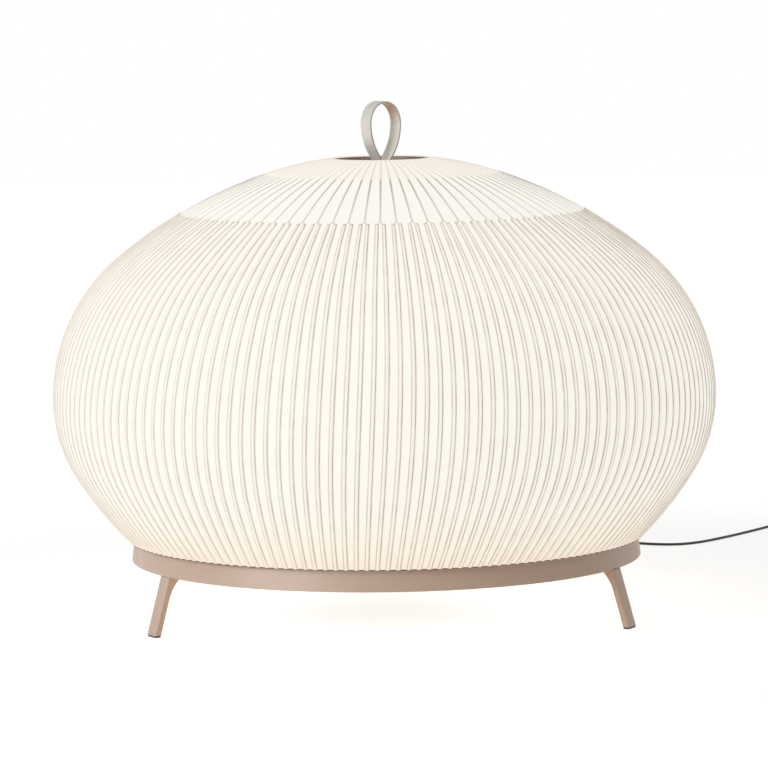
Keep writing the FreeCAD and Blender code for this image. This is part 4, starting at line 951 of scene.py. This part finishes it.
# Painted shadow: a thin dark band along the lower edge, scalloped between the ribs, where the cloth overhangs
# the ring.
hem_shadow_reach = ramp(tree, sums(tree, "ABSOLUTE", across), 1.2, 4.5, 1.3, 2.4)
hem_shadow = ramp(tree, sums(tree, "SUBTRACT", along, hem_shadow_reach), -0.2, 0.2, 1.0, 0.0)
base = mixed(tree, hem_shadow, base, HEM_SHADOW)
glow = mixed(tree, hem_shadow, glow, HEM_SHADOW_GLOW)
knit_shader(tree, shader, across, along, base, glow)
shade_cover.data.materials.append(rib_knit)
print("finish made:", rib_knit.name)


# %% The knit of crown and collar
def spoke_knit(name, line, line_glow, at_start, at_end, top, glow_colour, fork_width=0.0):
    """A knit with one line over each spoke, whose strength changes along the cloth."""
    material, tree, shader, _ = new_material(name)
    across, along = uv_numbers(tree, "cloth")
    fork = ramp(tree, along, 0.2, 5.0, fork_width, 0.0)
    lines = use_group(tree, line_group, **{"Across": across, "Half Width": fork, "Core": 0.55, "Fade": 1.1})
    drawn = sums(tree, "MULTIPLY", lines["Line"], ramp(tree, along, 0.0, top / MM, at_start, at_end))
    base = mixed(tree, drawn, KNIT, line)
    glow = mixed(tree, drawn, glow_colour, line_glow)
    knit_shader(tree, shader, across, along, base, glow)
    return material


CROWN_GLOW = (0.965, 0.945, 0.87, 1.0)
CROWN_LINE = (0.36, 0.34, 0.315, 1.0)
CROWN_LINE_GLOW = (0.27, 0.24, 0.2, 1.0)
COLLAR_GLOW = (0.965, 0.91, 0.82, 1.0)
COLLAR_LINE = (0.3, 0.27, 0.25, 1.0)
COLLAR_LINE_GLOW = (0.5, 0.42, 0.37, 1.0)
crown_knit = spoke_knit("crown_knit", CROWN_LINE, CROWN_LINE_GLOW, 0.55, 1.0, crown_top, CROWN_GLOW, 1.7)
collar_knit = spoke_knit("collar_knit", COLLAR_LINE, COLLAR_LINE_GLOW, 0.55, 0.4, collar_top, COLLAR_GLOW)
shade_crown.data.materials.append(crown_knit)
shade_collar.data.materials.append(collar_knit)
print("finishes made:", crown_knit.name, collar_knit.name)

# %% [markdown]
# ## The strap
# The strap is a band of pale leather, bent into a loop, with both ends in a clamp. It is drawn as the loop's
# side view: straight up out of the clamp, out, round the top and back down, again with bends. The chain of
# edges is pulled sideways to the strap's width, and a Solidify modifier gives the leather its thickness. Its
# material offsets put the paler flesh side on the inside of the loop and painted edges on the rim.

# %% The strap's line
STRAP_HALF = 1.1 * MM
STRAP_WIDTH = 21.0 * MM
HANDLE_TURN = math.radians(32.0)
SLOT_DEPTH = 6.3 * MM
TAIL_GAP = 0.1 * MM
LEAN = math.radians(42.0)
LEAN_RADIUS = 6.0 * MM
LOOP_TOP = 603.0 * MM
LOOP_HALF = 21.5 * MM
LOOP_DROP = 26.0 * MM
POINT_SPACING = 2.2 * MM
STRAP_STRIPS = 6
clamp_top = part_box("handle_clamp")[1][2]
tail_x = -STRAP_HALF - TAIL_GAP
tail_foot = Vector((tail_x, clamp_top - SLOT_DEPTH))
tail_end = Vector((tail_x, clamp_top))
lean_way = Vector((-math.sin(LEAN), math.cos(LEAN)))
bend_end = tail_end + Vector((math.cos(LEAN) - 1.0, math.sin(LEAN))) * LEAN_RADIUS
loop_side = Vector((STRAP_HALF - LOOP_HALF, LOOP_TOP - LOOP_DROP))
loop_crest = Vector((0.0, LOOP_TOP - STRAP_HALF))
half_loop = [bend_to(tail_end, heading(90.0), bend_end)]
half_loop += two_bends(bend_end, lean_way, loop_side, heading(90.0))
half_loop += two_bends(loop_side, heading(90.0), loop_crest, heading(0.0))
print("half the strap's loop is", round(sum(length_of(bend) for bend in half_loop) / MM, 1), "mm long")

# %% The strap
bm = bmesh.new()
tip = bm.verts.new((tail_foot.x, 0.0, tail_foot.y))
tail = bmesh.ops.extrude_vert_indiv(bm, verts=[tip])
bmesh.ops.translate(bm, verts=tail["verts"], vec=(0.0, 0.0, tail_end.y - tail_foot.y))
tip = tail["verts"][0]
for bend in half_loop:
    tip = swing(bm, tip, bend, steps_for(bend, POINT_SPACING))
bmesh.ops.mirror(bm, geom=bm.verts[:] + bm.edges[:], axis="X", merge_dist=1e-6)
bmesh.ops.remove_doubles(bm, verts=bm.verts[:], dist=1e-6)
print("points on the strap's line:", len(bm.verts))

# %% Width, map and turn of the strap
edges = bm.edges[:]
bmesh.ops.translate(bm, verts=bm.verts[:], vec=(0.0, -STRAP_WIDTH / 2, 0.0))
for step in range(STRAP_STRIPS):
    band = bmesh.ops.extrude_edge_only(bm, edges=edges)["geom"]
    moved = [item for item in band if isinstance(item, bmesh.types.BMVert)]
    edges = [item for item in band if isinstance(item, bmesh.types.BMEdge)]
    bmesh.ops.translate(bm, verts=moved, vec=(0.0, STRAP_WIDTH / STRAP_STRIPS, 0.0))
bmesh.ops.recalc_face_normals(bm, faces=bm.faces[:])
crest = max(bm.faces, key=lambda face: face.calc_center_median().z)
if crest.normal.z < 0:
    bmesh.ops.reverse_faces(bm, faces=bm.faces[:])
strap_map = bm.loops.layers.uv.new("strap")
for face in bm.faces:
    face.smooth = True
    for loop in face.loops:
        loop[strap_map].uv = (loop.vert.co.y / MM, loop.vert.co.z / MM)
bmesh.ops.rotate(bm, verts=bm.verts[:], cent=(0, 0, 0), matrix=Matrix.Rotation(HANDLE_TURN, 3, "Z"))
strap_loop = mesh_piece("strap_loop", bm)
print("strap faces:", len(strap_loop.data.polygons))

# %% Leather on both sides and painted edges
wall = strap_loop.modifiers.new("leather", "SOLIDIFY")
wall.thickness = 2 * STRAP_HALF
wall.offset = 0.0
wall.use_even_offset = True
wall.material_offset = 1
wall.material_offset_rim = 2
soft = strap_loop.modifiers.new("soft_edges", "BEVEL")
soft.width = 0.35 * MM
soft.segments = 2
soft.limit_method = "ANGLE"
soft.angle_limit = math.radians(60.0)
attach(strap_loop, "handle")
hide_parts("handle_strap")
print("strap modifiers:", [modifier.name for modifier in strap_loop.modifiers])

# %% Finishes of the strap
# Painted shade: the strap darkens towards the crest of the loop, to a warm tan on its inner side.
SHADED_CREST_RANGE = (572.0, 598.0)
LEATHER_SPREAD = 0.05


def leather(name, tone, other_tone, crest_shade_tone, rough, grain_depth):
    """Leather whose tone turns to a painted shade towards the crest of the loop, read from the strap's own
    map.
    """
    material, tree, shader, place = new_material(name)
    grain = use_group(tree, grain_group, Place=place.outputs["Object"], Scale=600.0, Unevenness=70.0)
    shaded_crest = ramp(tree, uv_numbers(tree, "strap")[1], *SHADED_CREST_RANGE)
    flat_tone = mixed(tree, grain["Patches"], (*tone, 1.0), (*other_tone, 1.0))
    feed(tree, shader.inputs["Base Color"], mixed(tree, shaded_crest, flat_tone, (*crest_shade_tone, 1.0)))
    patchy_roughness(tree, shader, grain["Patches"], rough, LEATHER_SPREAD)
    relief(tree, shader, grain["Height"], grain_depth)
    return material


# Each row: name, two tones, painted shade tone at the crest (warm tan on the flesh side), roughness, depth of
# the grain.
LEATHERS = (
    ("strap_grain_side", (0.74, 0.705, 0.66), (0.69, 0.66, 0.615), (0.6, 0.58, 0.54), 0.36, 0.00015),
    ("strap_flesh_side", (0.97, 0.945, 0.895), (0.94, 0.91, 0.85), (0.66, 0.42, 0.28), 0.45, 0.0003),
    ("strap_edge_paint", (0.64, 0.6, 0.55), (0.6, 0.56, 0.51), (0.58, 0.53, 0.47), 0.42, 0.00008),
)
for row in LEATHERS:
    strap_loop.data.materials.append(leather(*row))
print("strap finishes:", [material.name for material in strap_loop.data.materials])

# %% [markdown]
# ## Floor, light and background
# The photograph has a white background with almost no shadow. The floor is a large plane that adds a white
# glow to a pale diffuse surface, but only for rays from the camera, mirrors and glass: the picture shows
# white with a faint shadow where the lamp stands, and the lamp itself is lit by a plain pale floor. The world
# does the same with two backgrounds. One large soft lamp on the left gives the ring its change from light to
# dark, and a weak one above fills the top.

# %% Floor
FLOOR_HALF = 9.0
just_below = Matrix.Translation((0.0, 0.0, -0.0004))
bm = bmesh.new()
bmesh.ops.create_grid(bm, x_segments=1, y_segments=1, size=FLOOR_HALF, matrix=just_below)
studio_floor = mesh_piece("studio_floor", bm)
print("floor:", tuple(round(value, 1) for value in studio_floor.dimensions))


# %% What the camera sees of floor and world
def seen_directly(tree):
    """1 for rays from the camera, from glossy surfaces and through glass."""
    path = tree.nodes.new("ShaderNodeLightPath")
    seen = sums(tree, "ADD", path.outputs["Is Camera Ray"], path.outputs["Is Glossy Ray"], clamp=True)
    return sums(tree, "ADD", seen, path.outputs["Is Transmission Ray"], clamp=True)


def by_ray(tree, lighting, shown):
    """One shader that lights the lamp and another that is shown directly."""
    choice = tree.nodes.new("ShaderNodeMixShader")
    feed(tree, choice.inputs[0], seen_directly(tree))
    feed(tree, choice.inputs[1], lighting)
    feed(tree, choice.inputs[2], shown)
    return choice.outputs["Shader"]


floor_paint = bpy.data.materials.new("floor_paint")
floor_paint.use_nodes = True
tree = floor_paint.node_tree
tree.nodes.clear()
plain = tree.nodes.new("ShaderNodeBsdfDiffuse")
plain.inputs["Color"].default_value = (0.75, 0.75, 0.75, 1.0)
pale = tree.nodes.new("ShaderNodeBsdfDiffuse")
pale.inputs["Color"].default_value = (0.4, 0.4, 0.4, 1.0)
ground = tree.nodes.new("ShaderNodeTexCoord")
distance = tree.nodes.new("ShaderNodeVectorMath")
distance.operation = "LENGTH"
feed(tree, distance.inputs[0], ground.outputs["Object"])
white = tree.nodes.new("ShaderNodeEmission")
feed(tree, white.inputs["Strength"], ramp(tree, distance.outputs["Value"], 0.7, 1.7, 0.76, 1.0))
both = tree.nodes.new("ShaderNodeAddShader")
feed(tree, both.inputs[0], pale.outputs["BSDF"])
feed(tree, both.inputs[1], white.outputs["Emission"])
surface = tree.nodes.new("ShaderNodeOutputMaterial")
feed(tree, surface.inputs["Surface"], by_ray(tree, plain.outputs["BSDF"], both.outputs["Shader"]))
studio_floor.data.materials.append(floor_paint)
print("floor finish:", floor_paint.name)

# %% World
world = bpy.data.worlds.new("studio")
bpy.context.scene.world = world
world.use_nodes = True
tree = world.node_tree
tree.nodes.clear()
sky = tree.nodes.new("ShaderNodeBackground")
sky.inputs["Color"].default_value = (1.0, 0.94, 0.87, 1.0)
sky.inputs["Strength"].default_value = 0.35
backdrop = tree.nodes.new("ShaderNodeBackground")
backdrop.inputs["Strength"].default_value = 1.0
backdrop.inputs["Color"].default_value = (1.0, 1.0, 1.0, 1.0)
surface = tree.nodes.new("ShaderNodeOutputWorld")
feed(tree, surface.inputs["Surface"], by_ray(tree, sky.outputs["Background"], backdrop.outputs["Background"]))
print("world:", world.name)


# %% Lamps
def soft_lamp(name, place, target, size, power, tint):
    """A large square lamp that looks at a point."""
    light = bpy.data.lights.new(name, "AREA")
    light.size = size
    light.energy = power
    light.color = tint
    lamp = bpy.data.objects.new(name, light)
    bpy.context.scene.collection.objects.link(lamp)
    lamp.location = place
    lamp.rotation_euler = (Vector(target) - Vector(place)).to_track_quat("-Z", "Y").to_euler()
    print(name, "at", place)


soft_lamp("key_left", (-3.2, -2.8, 1.7), (0.0, 0.0, 0.25), 2.6, 112.0, (0.93, 0.97, 1.0))
soft_lamp("top_fill", (0.6, -0.6, 3.6), (0.0, 0.0, 0.3), 3.0, 14.0, (1.0, 0.98, 0.95))

# %% [markdown]
# ## Last update
# Cloth may stand a little proud of the solids. The view layer is updated so that every dressed piece is
# current.

# %% Update the scene
bpy.context.view_layer.update()
